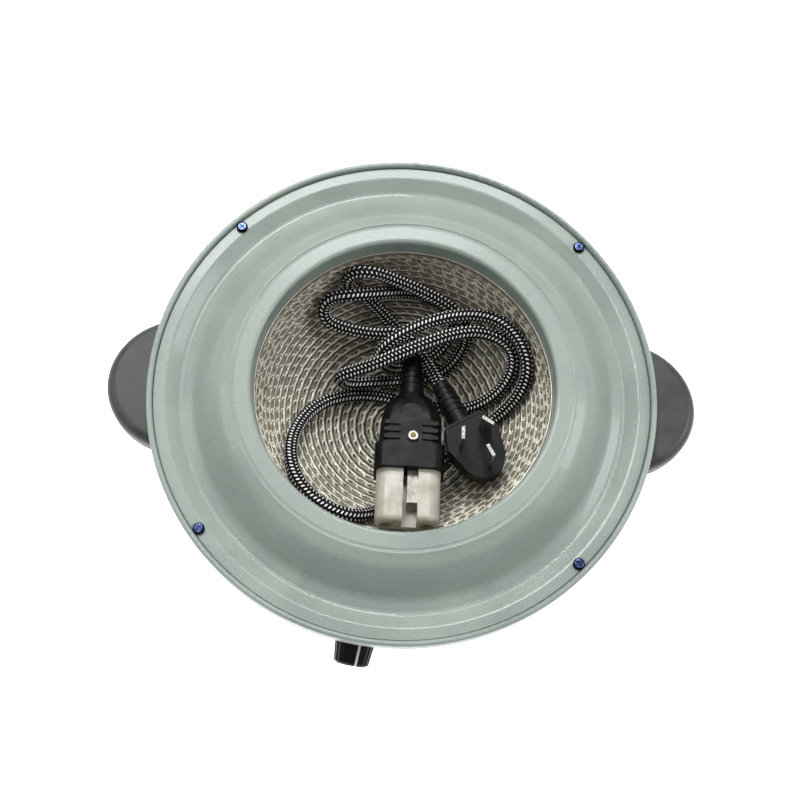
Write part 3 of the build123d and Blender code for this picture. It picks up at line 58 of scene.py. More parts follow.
toward = Vector((
    math.sin(CAMERA_AZIMUTH) * math.cos(CAMERA_ELEVATION),
    -math.cos(CAMERA_AZIMUTH) * math.cos(CAMERA_ELEVATION),
    math.sin(CAMERA_ELEVATION),
))
level = Vector((math.cos(CAMERA_AZIMUTH), math.sin(CAMERA_AZIMUTH), 0))
over = toward.cross(level)
right = level * math.cos(CAMERA_ROLL) + over * math.sin(CAMERA_ROLL)
upward = over * math.cos(CAMERA_ROLL) - level * math.sin(CAMERA_ROLL)
camera_data = bpy.data.cameras.new("camera")
camera_data.sensor_width = SENSOR
camera_data.lens = FOCAL_PIXELS / IMAGE_SIDE * SENSOR
camera_data.shift_x = (IMAGE_SIDE / 2 - IMAGE_CENTRE[0]) / IMAGE_SIDE
camera_data.shift_y = (IMAGE_CENTRE[1] - IMAGE_SIDE / 2) / IMAGE_SIDE
camera = bpy.data.objects.new("camera", camera_data)
scene.collection.objects.link(camera)
camera.matrix_world = Matrix.Translation(CAMERA_TARGET + CAMERA_DISTANCE * toward) @ Matrix(
    (right, upward, toward)
).transposed().to_4x4()
scene.camera = camera


# ---------------------------------------------------------------- node trees
class Tree:
    """Builds one material's node tree."""

    def __init__(self, name):
        self.material = bpy.data.materials.new(name)
        self.material.use_nodes = True
        self.nodes = self.material.node_tree.nodes
        self.links = self.material.node_tree.links
        self.shader = self.nodes["Principled BSDF"]

    def put(self, target, value):
        if isinstance(value, bpy.types.NodeSocket):
            self.links.new(value, target)
        elif value is not None:
            target.default_value = value

    def math(self, operation, a, b=None, c=None):
        node = self.nodes.new("ShaderNodeMath")
        node.operation = operation
        for socket, value in zip(node.inputs, (a, b, c)):
            self.put(socket, value)
        return node.outputs[0]

    def place(self, kind="Object"):
        return self.nodes.new("ShaderNodeTexCoord").outputs[kind]

    def stretch(self, vector, factors):
        node = self.nodes.new("ShaderNodeMapping")
        self.put(node.inputs["Vector"], vector)
        node.inputs["Scale"].default_value = factors
        return node.outputs[0]

    def noise(self, vector, scale, detail=2.0, roughness=0.5, distortion=0.0):
        node = self.nodes.new("ShaderNodeTexNoise")
        self.put(node.inputs["Vector"], vector)
        node.inputs["Scale"].default_value = scale
        node.inputs["Detail"].default_value = detail
        node.inputs["Roughness"].default_value = roughness
        node.inputs["Distortion"].default_value = distortion
        return node.outputs[0]

    def ramp(self, value, low, high, start=0.0, end=1.0):
        """Value from low to high while the input goes from start to end."""
        node = self.nodes.new("ShaderNodeMapRange")
        node.interpolation_type = "SMOOTHSTEP"
        self.put(node.inputs["Value"], value)
        for key, number in zip(("From Min", "From Max", "To Min", "To Max"), (start, end, low, high)):
            node.inputs[key].default_value = number
        return node.outputs[0]

    def colours(self, value, *stops):
        node = self.nodes.new("ShaderNodeValToRGB")
        self.put(node.inputs[0], value)
        elements = node.color_ramp.elements
        while len(elements) < len(stops):
            elements.new(1.0)
        for element, (position, colour) in zip(elements, stops):
            element.position = position
            element.color = rgb(colour)
        return node.outputs[0]

    def mix(self, factor, a, b, blend="MIX"):
        node = self.nodes.new("ShaderNodeMix")
        node.data_type = "RGBA"
        node.blend_type = blend
        self.put(node.inputs[0], factor)
        for socket, value in ((node.inputs[6], a), (node.inputs[7], b)):
            self.put(socket, rgb(value) if isinstance(value, str) else value)
        return node.outputs[2]

    def bump(self, height, distance, strength=1.0, normal=None):
        node = self.nodes.new("ShaderNodeBump")
        node.inputs["Strength"].default_value = strength
        node.inputs["Distance"].default_value = distance
        self.put(node.inputs["Height"], height)
        if normal is not None:
            self.put(node.inputs["Normal"], normal)
        return node.outputs[0]

    def axes(self, vector):
        node = self.nodes.new("ShaderNodeSeparateXYZ")
        self.put(node.inputs[0], vector)
        return node.outputs

    def finish(self, colour=None, roughness=None, normal=None, **fixed):
        self.put(self.shader.inputs["Base Color"], rgb(colour) if isinstance(colour, str) else colour)
        self.put(self.shader.inputs["Roughness"], roughness)
        self.put(self.shader.inputs["Normal"], normal)
        for key, value in fixed.items():
            self.put(self.shader.inputs[key.replace("_", " ")], value)
        return self.material


SRGB_KNEE = 0.04045
SRGB_SLOPE = 12.92
SRGB_OFFSET = 0.055
SRGB_POWER = 2.4


def rgb(text):
    """Linear colour from an sRGB hex string."""
    out = []
    for i in (0, 2, 4):
        c = int(text[i:i + 2], 16) / 255
        low, high = c / SRGB_SLOPE, ((c + SRGB_OFFSET) / (1 + SRGB_OFFSET)) ** SRGB_POWER
        out.append(low if c <= SRGB_KNEE else high)
    return (*out, 1.0)


# ---------------------------------------------------------------- materials
def paint(name, light, dark, speck):
    """Stoved hammer-finish paint: orange peel, fine sparkle and a slight change of tone."""
    t = Tree(name)
    at = t.place()
    peel = t.noise(at, scale=520, detail=3, roughness=0.6, distortion=0.5)
    fine = t.noise(at, scale=1500, detail=2, roughness=0.5)
    wide = t.noise(at, scale=16, detail=4, roughness=0.6, distortion=0.6)
    tone = t.colours(wide, (0.34, dark), (0.66, light))
    grain = t.ramp(fine, low=0.0, high=0.3, start=0.52, end=0.78)
    colour = t.mix(grain, tone, speck)
    height = t.math("MULTIPLY_ADD", fine, 0.3, peel)
    rough = t.ramp(wide, low=0.34, high=0.5, start=0.3, end=0.7)
    relief = t.bump(height, distance=0.00026, strength=0.75)
    return t.finish(colour, rough, relief, Coat_Weight=0.3, Coat_Roughness=0.1,
                    Specular_IOR_Level=0.45)


def plastic(name, colour, worn, rough, grain=1400, depth=0.00006, blotch=60, **fixed):
    """Moulded plastic with a fine grain and a few paler rubbed patches."""
    t = Tree(name)
    at = t.place()
    patch = t.noise(at, scale=blotch, detail=4, roughness=0.6)
    tone = t.colours(patch, (0.42, colour), (0.78, worn))
    skin = t.noise(at, scale=grain, detail=2, roughness=0.5)
    roughness = t.ramp(patch, low=rough - 0.06, high=rough + 0.1, start=0.3, end=0.75)
    return t.finish(tone, roughness, t.bump(skin, distance=depth, strength=0.6), **fixed)


def metal(name, colour, tint, rough, brushed=(1, 1, 1), scale=900, **fixed):
    t = Tree(name)
    at = t.place()
    lines = t.noise(t.stretch(at, brushed), scale=scale, detail=3, roughness=0.6)
    cloud = t.noise(at, scale=90, detail=3, roughness=0.6)
    tone = t.colours(cloud, (0.3, colour), (0.72, tint))
    roughness = t.ramp(lines, low=rough - 0.06, high=rough + 0.1, start=0.3, end=0.7)
    return t.finish(tone, roughness, t.bump(lines, distance=0.00004, strength=0.5), Metallic=1.0, **fixed)


def ceramic_glaze():
    """Cream steatite, glazed unevenly and a little soiled."""
    t = Tree("glazed_ceramic")
    at = t.place()
    soil = t.noise(at, scale=110, detail=5, roughness=0.62, distortion=0.4)
    spots = t.noise(at, scale=620, detail=2, roughness=0.5)
    base = t.colours(soil, (0.3, "948f81"), (0.5, "a9a599"), (0.7, "b7b4a9"))
    colour = t.mix(t.ramp(spots, low=0.0, high=0.5, start=0.64, end=0.8), base, "8f8572")
    height = t.math("MULTIPLY_ADD", spots, 0.3, soil)
    gloss = t.ramp(soil, low=0.42, high=0.22, start=0.35, end=0.7)
    return t.finish(colour, gloss, t.bump(height, distance=0.0002, strength=0.5))


def ringed_metal(name, centres, inner, outer, start, end, rough):
    """Plated screw heads whose middle and rim differ in colour."""
    t = Tree(name)
    at = t.place()
    nearest = None
    for centre in centres:
        node = t.nodes.new("ShaderNodeVectorMath")
        node.operation = "DISTANCE"
        t.put(node.inputs[0], at)
        node.inputs[1].default_value = centre
        far = node.outputs["Value"]
        nearest = far if nearest is None else t.math("MINIMUM", nearest, far)
    cloud = t.noise(at, scale=700, detail=3, roughness=0.6)
    middle = t.colours(cloud, (0.35, inner[0]), (0.65, inner[1]))
    colour = t.mix(t.ramp(nearest, low=0.0, high=1.0, start=start, end=end), middle, outer)
    gloss = t.ramp(cloud, low=rough, high=rough + 0.12, start=0.3, end=0.7)
    return t.finish(colour, gloss, t.bump(cloud, distance=0.00004, strength=0.5), Metallic=0.9)


POINTER_HALF_WIDTH = 0.00056
POINTER_START = 0.0028
KNOB_SKIRT = 0.001


def knob_gloss(centre, axis, mark):
    """Gloss black moulding whose pointer line is filled with white paint."""
    t = Tree("knob_black")
    at = t.place()
    side = axis.cross(mark).normalized()

    def along(direction):
        node = t.nodes.new("ShaderNodeVectorMath")
        node.operation = "DOT_PRODUCT"
        shifted = t.nodes.new("ShaderNodeVectorMath")
        shifted.operation = "SUBTRACT"
        t.put(shifted.inputs[0], at)
        shifted.inputs[1].default_value = centre
        t.links.new(shifted.outputs[0], node.inputs[0])
        node.inputs[1].default_value = direction
        return node.outputs["Value"]

    across = t.math("ABSOLUTE", along(side))
    inside = t.math("LESS_THAN", across, POINTER_HALF_WIDTH)
    outward = t.math("GREATER_THAN", along(mark), POINTER_START)
    front = t.math("GREATER_THAN", along(axis), KNOB_SKIRT)
    line = t.math("MULTIPLY", t.math("MULTIPLY", inside, outward), front)
    dust = t.noise(at, scale=260, detail=4, roughness=0.6)
    colour = t.mix(line, t.colours(dust, (0.4, "040405"), (0.8, "0c0c0d")), "e9e8e3")
    gloss = t.ramp(dust, low=0.12, high=0.26, start=0.35, end=0.75)
    return t.finish(colour, gloss, t.bump(dust, distance=0.00004, strength=0.3),
                    Specular_IOR_Level=0.25)


FLECK_LEAN = 0.47
FLECK_LENGTHS = (1.16, -0.4)
FLECK_WIDTHS = (0.42, -0.1)
FLECK_ROUNDNESS = 2.4


def braid(rows, pitch, around):
    """Black cotton braid whose pale flecks lean one way in even rows and the other way in odd rows.

    FLECK_LENGTHS and FLECK_WIDTHS hold the even rows' value and what the odd rows add to it, in mm.
    """
    t = Tree("braided_cotton")
    u, v, _ = t.axes(t.place("UV"))
    row = t.math("FLOOR", v)
    odd = t.math("MODULO", row, 2.0)
    along = t.math("FRACT", t.math("MULTIPLY_ADD", odd, 0.5, u))
    x = t.math("MULTIPLY", t.math("SUBTRACT", along, 0.5), pitch)
    y = t.math("MULTIPLY", t.math("SUBTRACT", t.math("FRACT", v), 0.5), around / rows)
    way = t.math("MULTIPLY_ADD", odd, -2.0, 1.0)
    lean = t.math("MULTIPLY", way, FLECK_LEAN)
    a = t.math("MULTIPLY_ADD", t.math("MULTIPLY", y, lean), 1.0, x)
    b = t.math("SUBTRACT", y, t.math("MULTIPLY", x, lean))
    length = t.math("MULTIPLY_ADD", odd, FLECK_LENGTHS[1], FLECK_LENGTHS[0])
    width = t.math("MULTIPLY_ADD", odd, FLECK_WIDTHS[1], FLECK_WIDTHS[0])
    ring = t.math("ADD", *(
        t.math("POWER", t.math("ABSOLUTE", t.math("DIVIDE", offset, half)), FLECK_ROUNDNESS)
        for offset, half in ((a, width), (b, length))
    ))
    fleck = t.ramp(ring, low=1.0, high=0.0, start=0.55, end=1.15)
    at = t.place()
    fuzz = t.noise(at, scale=2600, detail=2, roughness=0.6)
    worn = t.noise(at, scale=70, detail=3, roughness=0.6)
    black = t.colours(fuzz, (0.35, "040405"), (0.75, "121314"))
    pale = t.colours(worn, (0.25, "dddcd6"), (0.55, "ffffff"))
    # Twisted yarns cross at the plait pitch, leaning both ways.
    half_row = t.math("MULTIPLY", v, 0.5)
    wale = t.math("SINE", t.math("MULTIPLY", t.math("ADD", u, half_row), 2 * math.pi))
    course = t.math("SINE", t.math("MULTIPLY", t.math("SUBTRACT", u, half_row), 2 * math.pi))
    height = t.math("ADD", t.math("MAXIMUM", wale, course), t.math("MULTIPLY_ADD", fuzz, 0.8, fleck))
    gloss = t.ramp(fuzz, low=0.62, high=0.85)
    return t.finish(t.mix(fleck, black, pale), gloss, t.bump(height, distance=0.00016, strength=0.8),
                    Specular_IOR_Level=0.2)


# One stitch of the knitted cloth, in mm: x runs along its row from 0 to STITCH, y across it.
STITCH = 6.0
ROW_WIDTH = 4.0
CREST = 1.2
CREST_SWAY = 0.2
CREST_PHASE = 0.9
CREST_FADE = (0.85, 0.35)
LOOP_CENTRE = (1.9, 2.2)
LOOP_HALF = (1.7, 0.95)
LOOP_FADE = (0.45, 0.15)
LOOP_END = (3.4, 1.2)
HOLE_CENTRE = (2.0, 2.25)
HOLE_HALF = (1.1, 0.5)
HOLE_FADE = (1.2, 0.5)


def knit_terms(x, y, library):
    """Bright yarn, loop and dark hole of one chain stitch, each from 0 to 1."""
    sine, absolute, root, rise = library

    def reach(centre, half):
        return root(((x - centre[0]) / half[0]) ** 2 + ((y - centre[1]) / half[1]) ** 2)

    wave = sine(x * (2 * math.pi / STITCH) + CREST_PHASE)
    line = rise(absolute(y - (CREST + CREST_SWAY * wave)), *CREST_FADE)
    hook = rise(absolute(reach(LOOP_CENTRE, LOOP_HALF) - 1), *LOOP_FADE) * rise(x, *LOOP_END)
    hole = rise(reach(HOLE_CENTRE, HOLE_HALF), *HOLE_FADE)
    return line, hook, hole


class Socket:
    """A node's output that reads as a number in a formula."""

    def __init__(self, tree, socket):
        self.tree = tree
        self.socket = socket

    def work(self, operation, *others):
        inputs = [getattr(other, "socket", other) for other in others]
        return Socket(self.tree, self.tree.math(operation, self.socket, *inputs))

    def __add__(self, other):
        return self.work("ADD", other)

    def __sub__(self, other):
        return self.work("SUBTRACT", other)

    def __mul__(self, other):
        return self.work("MULTIPLY", other)

    def __truediv__(self, other):
        return self.work("DIVIDE", other)

    def __pow__(self, power):
        """Only squares are asked for."""
        return self * self

    __radd__ = __add__
    __rmul__ = __mul__


ROW_WANDER = 1.5
HOOK_TONE = 0.8
DASH_PHASE = 0.35
BACK_TINT_WANDER = 0.05
YARN_HEIGHT = 1.2
HOLE_HEIGHT = 1.4
STRAND_HEIGHT = 0.6


def knit():
    """Knitted glass-fibre cloth: bright yarn along every row, a loop and a dark eye in every stitch. The
    yarn's cream is partly painted highlight; the dark eyes and the dark grooves between rows are painted
    shade.
    """
    t = Tree("knitted_glass")
    u, v, _ = t.axes(t.place("UV"))

    def rise(value, start, end):
        if start < end:
            return Socket(t, t.ramp(value.socket, low=0.0, high=1.0, start=start, end=end))
        return Socket(t, t.ramp(value.socket, low=1.0, high=0.0, start=end, end=start))

    library = (
        lambda s: s.work("SINE"),
        lambda s: s.work("ABSOLUTE"),
        lambda s: s.work("SQRT"),
        rise,
    )
    at = t.place()
    wander = t.math("SUBTRACT", t.noise(at, scale=240, detail=2, roughness=0.5), 0.5)
    x = Socket(t, t.math("FRACT", u)) * STITCH
    y = Socket(t, t.math("MULTIPLY_ADD", v, ROW_WIDTH, t.math("MULTIPLY", wander, ROW_WANDER)))
    line, hook, hole = knit_terms(x, y, library)
    strands = t.noise(t.stretch(t.place("UV"), (3.2, 13, 1)), scale=1.9, detail=3, roughness=0.7)
    # On the steep upper rows the yarn's brightness is cut to one short stroke in each stitch: a painted glint
    # on each loop.
    steep = t.ramp(t.axes(at)[2], low=0.15, high=0.85, start=0.075, end=0.112)
    phase = t.math("SUBTRACT", t.math("FRACT", t.math("ADD", u, DASH_PHASE)), 0.5)
    gap = t.ramp(t.math("ABSOLUTE", phase), low=1.0, high=0.0, start=0.1, end=0.24)
    glint_dash = t.math("SUBTRACT", 1.0, t.math("MULTIPLY", steep, gap))
    yarn = t.math("MULTIPLY", line.socket, glint_dash)
    bright = Socket(t, t.math("MAXIMUM", yarn, t.math("MULTIPLY", hook.socket, HOOK_TONE)))
    patch = t.noise(at, scale=170, detail=3, roughness=0.65)
    lit = (bright * Socket(t, t.ramp(patch, low=0.75, high=1.0, start=0.35, end=0.55))).socket
    body = t.colours(strands, (0.36, "2e291c"), (0.5, "6f6750"), (0.66, "bbb190"))
    # Painted shade: the grooves between rows are darkened towards 3a3428.
    side = t.math("ABSOLUTE", t.math("SUBTRACT", v, 0.5))
    painted_groove_shade = t.math("SUBTRACT", 1.0, t.ramp(side, low=1.0, high=0.35, start=0.33, end=0.48))
    # Towards the back (+y) the cloth turns browner and its cream yarn darker, along a noisy border.
    back_wobble = t.math("MULTIPLY", t.noise(at, scale=28, detail=3, roughness=0.6), BACK_TINT_WANDER)
    back = t.math("ADD", t.axes(at)[1], back_wobble)
    back_tint = t.ramp(back, low=0.0, high=0.5, start=0.05, end=0.11)
    body = t.mix(back_tint, body, "7a6757")
    # The cream of the crest and loops is partly the yarn's own pale colour and partly painted highlight.
    cream = t.mix(back_tint, "fffdf0", "e4d4bc")
    shade = t.mix(painted_groove_shade, t.mix(lit, body, cream), "3a3428")
    # Painted shade: the eye of every stitch is coloured near-black (191510).
    colour = t.mix(hole.socket, shade, "191510")
    height = bright * YARN_HEIGHT - hole * HOLE_HEIGHT + Socket(t, strands) * STRAND_HEIGHT
    relief = t.bump(height.socket, distance=0.0002, strength=0.7)
    gloss = t.ramp(lit, low=0.5, high=0.24, start=0.3, end=0.9)
    return t.finish(colour, gloss, relief, Specular_IOR_Level=1.0)


def put(names, material):
    for name in names:
        mesh = nodes[name].data
        mesh.materials.clear()
        mesh.materials.append(material)
        for polygon in mesh.polygons:
            polygon.material_index = 0


def add(name, mesh, material, body="mantle", replaced=()):
    piece = bpy.data.objects.new(name, mesh)
    scene.collection.objects.link(piece)
    mesh.materials.append(material)
    for polygon in mesh.polygons:
        polygon.use_smooth = True
    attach(piece, body)
    if replaced:
        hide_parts(*replaced)
    return piece


def quads(rows, columns, closed_rows=False, start=0):
    """Faces of a grid whose columns go round."""
    out = []
    for i in range(rows if closed_rows else rows - 1):
        for j in range(columns):
            a = start + i * columns + j
            b = start + i * columns + (j + 1) % columns
            down = start + ((i + 1) % rows) * columns
            out.append((a, b, down + (j + 1) % columns, down + j))
    return out


# ---------------------------------------------------------------- cord
CORD_DIAMETER = 6.8
CORD_ROUTE = (
    (5, 29, 91), (5, 35, 91.5), (1.5, 40, 91.5), (-4.5, 41.5, 92), (-14, 40, 92.5), (-26, 40.5, 94),
    (-37, 42, 97), (-41.5, 45, 100.5), (-41.5, 49.5, 105), (-37, 52.5, 108.5), (-27, 53, 111),
    (-13, 57, 106), (1, 62, 98.5), (13, 60.5, 95.5), (21.5, 56, 94), (26.5, 51.5, 89),
    (24.5, 45.5, 83.5), (19.5, 39.5, 77.5), (12, 34, 72.5), (0, 30.5, 71.5), (-8.5, 27, 79.5),
    (-12.5, 28, 88.5), (-10.5, 31, 97.5), (-3.5, 35.5, 103), (8, 41.5, 105), (21, 46, 106),
    (35, 47.5, 107.5), (48, 44, 109.5), (58, 34, 109.5), (63, 21.5, 105.5), (60, 11, 95),
    (51.5, 3.5, 83), (39, -4.5, 74), (25, -16.5, 69.5), (10, -32, 71), (-5, -48, 80.5),
    (-14.5, -54.5, 89.5), (-24.5, -57, 97), (-38, -52.5, 100.5), (-50, -41, 100), (-54.5, -25, 94),
    (-52, -8.5, 84.5), (-42.5, 6, 76.5), (-28, 13.5, 70.5), (-12, 15.5, 66.5), (5, 12.5, 65),
    (22, 9.5, 67.5), (37, 8.5, 73.5), (49, 13.5, 82.5), (56, 22, 93), (56, 30.5, 100),
    (50, 36.5, 103), (38, 40, 104), (24.5, 37.5, 104.5), (11.5, 32, 104.5), (-1.5, 26.5, 102.5),
    (-13.5, 21.5, 99), (-22, 19.5, 95), (-29.5, 18, 91), (-32.5, 17.5, 84.5), (-29.5, 17.5, 77.5),
    (-22.5, 18.5, 75), (-10, 21, 72.5), (3, 23.5, 69), (15, 25.5, 69.5), (24, 30, 73.5),
    (30, 36.5, 79.5), (33, 43.5, 87.5), (30, 48.5, 97), (20, 54.5, 103.5), (7, 59, 107.5),
    (-5, 61.5, 112.5), (-13.5, 62.5, 117), (-19, 62.5, 119.5), (-25.5, 62.5, 119),
    (-30, 61.5, 114.5), (-30, 60, 108), (-26, 59.5, 103), (-19, 57, 97), (-12, 53, 89),
    (-4.5, 46.5, 86), (3.5, 40, 84), (10, 32.5, 83.5), (15, 25, 84.5), (19.5, 16, 87),
)
CORD_SIDES = 26
CORD_STEPS = 24
FLECK_ROWS = 8
FLECK_PITCH = 2.0
YARN_RELIEF = 0.11


def cord_line():
    """Points of the route's own spline."""
    curve = bpy.data.curves.new("cord_route", "CURVE")
    curve.dimensions = "3D"
    spline = curve.splines.new("NURBS")
    spline.points.add(len(CORD_ROUTE) - 1)
    for point, place in zip(spline.points, CORD_ROUTE):
        point.co = (*(c * MM for c in place), 1.0)
    spline.order_u = 3
    spline.use_endpoint_u = True
    spline.resolution_u = CORD_STEPS
    route = bpy.data.objects.new("cord_route", curve)
    mesh = bpy.data.meshes.new_from_object(route)
    points = np.array([v.co for v in mesh.vertices])
    bpy.data.meshes.remove(mesh)
    bpy.data.objects.remove(route)
    return points


def frames(points):
    """Tangents and two steady normals along a line."""
    tangents = np.gradient(points, axis=0)
    tangents /= np.linalg.norm(tangents, axis=1)[:, None]
    normal = np.cross(tangents[0], (0, 0, 1))
    normals = []
    for tangent in tangents:
        normal = normal - tangent * normal.dot(tangent)
        normal /= np.linalg.norm(normal)
        normals.append(normal)
    normals = np.array(normals)
    return tangents, normals, np.cross(tangents, normals)


def cord_mesh(points):
    """The braided tube round a line."""
    steps = np.linalg.norm(np.diff(points, axis=0), axis=1)
    run = np.concatenate(([0], np.cumsum(steps))) / MM
    _, first, second = frames(points)
    turns = np.arange(CORD_SIDES) / CORD_SIDES
    u = run[:, None] / FLECK_PITCH
    v = turns[None, :] * FLECK_ROWS
    yarn = np.maximum(np.sin(2 * math.pi * (u + v / 2)), np.sin(2 * math.pi * (u - v / 2)))
    radius = (CORD_DIAMETER / 2 - YARN_RELIEF + YARN_RELIEF * yarn) * MM
    angle = turns * 2 * math.pi
    out = (np.cos(angle)[None, :, None] * first[:, None] + np.sin(angle)[None, :, None] * second[:, None])
    places = points[:, None] + radius[..., None] * out
    count = len(points)
    mesh = bpy.data.meshes.new("cord")
    last = count * CORD_SIDES
    caps = [tuple(range(CORD_SIDES)), tuple(range(last - 1, last - CORD_SIDES - 1, -1))]
    mesh.from_pydata(places.reshape(-1, 3).tolist(), [], quads(count, CORD_SIDES) + caps)
    layer = mesh.uv_layers.new(name="UVMap")
    uv = np.zeros((len(mesh.loops), 2))
    loop = 0
    for i in range(count - 1):
        for j in range(CORD_SIDES):
            low, high = v[0, j], FLECK_ROWS * (j + 1) / CORD_SIDES
            here, there = u[i, 0], u[i + 1, 0]
            uv[loop:loop + 4] = ((here, low), (here, high), (there, high), (there, low))
            loop += 4
    layer.data.foreach_set("uv", uv.ravel())
    return mesh


line = cord_line()
sleeve = braid(FLECK_ROWS, FLECK_PITCH, math.pi * CORD_DIAMETER)
cord = add("cord_braid", cord_mesh(line), sleeve,
           replaced=["mains_cord"])

# ---------------------------------------------------------------- knitted cup
CUP_RADIUS = 73.5
CUP_DEPTH = 62.0
CUP_CENTRE = 122.0
ROW_COUNT = 24
ROW_ANGLE = 3.5
EDGE_ROWS = 2
CUP_EDGE = (70.8, 123.4)
STEPS_PER_STITCH = 9
TOP_SAMPLES = 9
ROW_THICKNESS = 2.4
ROW_SINK = 0.5
DOME_HEIGHT = 0.8
DOME_ROUNDNESS = 0.6
DOME_SPREAD = 0.1
YARN_LIFT = 0.55
HOLE_SINK = 0.8
FEWEST_STITCHES = 3
LEAST_RADIUS = 1.5
AXIS_GAP = 0.02
LOWER_ROWS = 16
random = np.random.default_rng(7)


def row_frame(row):
    """Start and end of a row's width in the (radius, height) plane."""
    if row < ROW_COUNT:
        ends = [math.radians(ROW_ANGLE * n) for n in (row, row + 1)]
        return [(CUP_RADIUS * math.sin(e), CUP_CENTRE - CUP_DEPTH * math.cos(e)) for e in ends]
    last = math.radians(ROW_ANGLE * ROW_COUNT)
    base = (CUP_RADIUS * math.sin(last), CUP_CENTRE - CUP_DEPTH * math.cos(last))
    parts = [(row - ROW_COUNT + n) / EDGE_ROWS for n in (0, 1)]
    return [(base[0] + (CUP_EDGE[0] - base[0]) * p, base[1] + (CUP_EDGE[1] - base[1]) * p) for p in parts]


def smooth_rise(value, start, end):
    share = np.clip((value - start) / (end - start), 0, 1)
    return share * share * (3 - 2 * share)


def knitted_rows(name, rows):
    places, faces, uvs = [], [], []
    library = (np.sin, np.abs, np.sqrt, smooth_rise)
    for row in rows:
        (r0, z0), (r1, z1) = row_frame(row)
        middle = max((r0 + r1) / 2, LEAST_RADIUS)
        stitches = max(FEWEST_STITCHES, round(2 * math.pi * middle / STITCH))
        steps = stitches * STEPS_PER_STITCH
        across = np.linspace(0, 1, TOP_SAMPLES)
        u = np.arange(steps) / STEPS_PER_STITCH
        x, y = np.meshgrid((u % 1) * STITCH, across * ROW_WIDTH, indexing="ij")
        line, hook, hole = knit_terms(x, y, library)
        wobble = np.repeat(random.normal(0, DOME_SPREAD, stitches), STEPS_PER_STITCH)[:, None]
        dome = np.sin(math.pi * across)[None, :] ** DOME_ROUNDNESS
        yarn = np.maximum(line, HOOK_TONE * hook)
        lift = dome * (DOME_HEIGHT + wobble) - ROW_SINK + YARN_LIFT * yarn * dome - HOLE_SINK * hole
        slope = np.array([r1 - r0, z1 - z0])
        slope /= np.linalg.norm(slope)
        inward = np.array([-slope[1], slope[0]])
        flat = np.array([r0, z0]) + across[:, None] * np.array([r1 - r0, z1 - z0])
        top = flat[None] + lift[..., None] * inward
        back = np.repeat((flat[[-2, TOP_SAMPLES // 2, 1]] - ROW_THICKNESS * inward)[None], steps, axis=0)
        profile = np.concatenate((top, back), axis=1)
        profile[..., 0] = np.maximum(profile[..., 0], AXIS_GAP)
        turn = 2 * math.pi * (u / stitches + random.random())
        start = len(places)
        radius, height = profile[..., 0], profile[..., 1]
        x, y = radius * np.cos(turn)[:, None], radius * np.sin(turn)[:, None]
        spun = np.stack((x, y, height), axis=-1) * MM
        places.extend(spun.reshape(-1, 3).tolist())
        columns = profile.shape[1]
        faces.extend(quads(steps, columns, closed_rows=True, start=start))
        edges = np.concatenate((across, (1.0, 0.5, 0.0), (0.0,)))
        for i in range(steps):
            here, there = i / STEPS_PER_STITCH, (i + 1) / STEPS_PER_STITCH
            for j in range(columns):
                uvs.append(((here, edges[j]), (here, edges[j + 1]), (there, edges[j + 1]), (there, edges[j])))
    mesh = bpy.data.meshes.new(name)
    mesh.from_pydata(places, [], faces)
    layer = mesh.uv_layers.new(name="UVMap")
    layer.data.foreach_set("uv", np.array(uvs).ravel())
    return mesh


fibre = knit()
for name, rows in (
    ("cup_rows_lower", range(LOWER_ROWS)),
    ("cup_rows_upper", range(LOWER_ROWS, ROW_COUNT + EDGE_ROWS)),
):
    add(name, knitted_rows(name, rows), fibre, replaced=["heating_cup"])

# ---------------------------------------------------------------- bare lower edge of the cover's curl
EDGE_RADIUS = 71.2
EDGE_HEIGHT = 125.6
EDGE_WIRE = 0.35
EDGE_SEGMENTS = 180
EDGE_SIDES = 10
edge_places = []
for i in range(EDGE_SEGMENTS):
    turn = 2 * math.pi * i / EDGE_SEGMENTS
    for j in range(EDGE_SIDES):
        roll = 2 * math.pi * j / EDGE_SIDES
        reach = EDGE_RADIUS + EDGE_WIRE * math.cos(roll)
        edge_places.append((reach * math.cos(turn) * MM, reach * math.sin(turn) * MM,
                            (EDGE_HEIGHT + EDGE_WIRE * math.sin(roll)) * MM))
edge_mesh = bpy.data.meshes.new("cover_edge")
edge_mesh.from_pydata(edge_places, [], quads(EDGE_SEGMENTS, EDGE_SIDES, closed_rows=True))
add("cover_edge", edge_mesh, metal("bare_edge", "b9b8ae", "e2e0d4", rough=0.35))

# ---------------------------------------------------------------- finishes of the CAD nodes
COVER_SCREW_RADIUS = 116.8 * MM
COVER_SCREW_ANGLES = (43.4, 136.0, 218.6, 316.4)
COVER_SCREW_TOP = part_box("cover_screws")[1][2]
CONNECTOR_SCREW = (0.0062, -0.01802, 0.10859)
KNOB_AZIMUTH = math.radians(-98.2)
KNOB_HEIGHT = 90.0
KNOB_TURN = math.radians(18)
WALL_SLOPE = 0.2
WALL_FOOT = (97.9, 13.5)
COVER_SCREW_RIM = (0.0019, 0.0023)
CONNECTOR_SCREW_RIM = (0.0014, 0.0017)
wall_tilt = math.atan(WALL_SLOPE)
knob_reach = WALL_FOOT[0] + WALL_SLOPE * (KNOB_HEIGHT - WALL_FOOT[1])
away = Vector((math.cos(KNOB_AZIMUTH), math.sin(KNOB_AZIMUTH), 0))
knob_centre = (knob_reach * away + Vector((0, 0, KNOB_HEIGHT))) * MM
knob_axis = away * math.cos(wall_tilt) - Vector((0, 0, math.sin(wall_tilt)))
knob_side = Vector((-away.y, away.x, 0))
knob_mark = knob_side * math.sin(KNOB_TURN) + knob_axis.cross(knob_side) * math.cos(KNOB_TURN)
put(["casing", "top_cover"], paint("hammer_green", "8f9a93", "818d86", "b0bab4"))
put(["base_plate"], paint("hammer_green_base", "86948c", "78867e", "a3b0a9"))
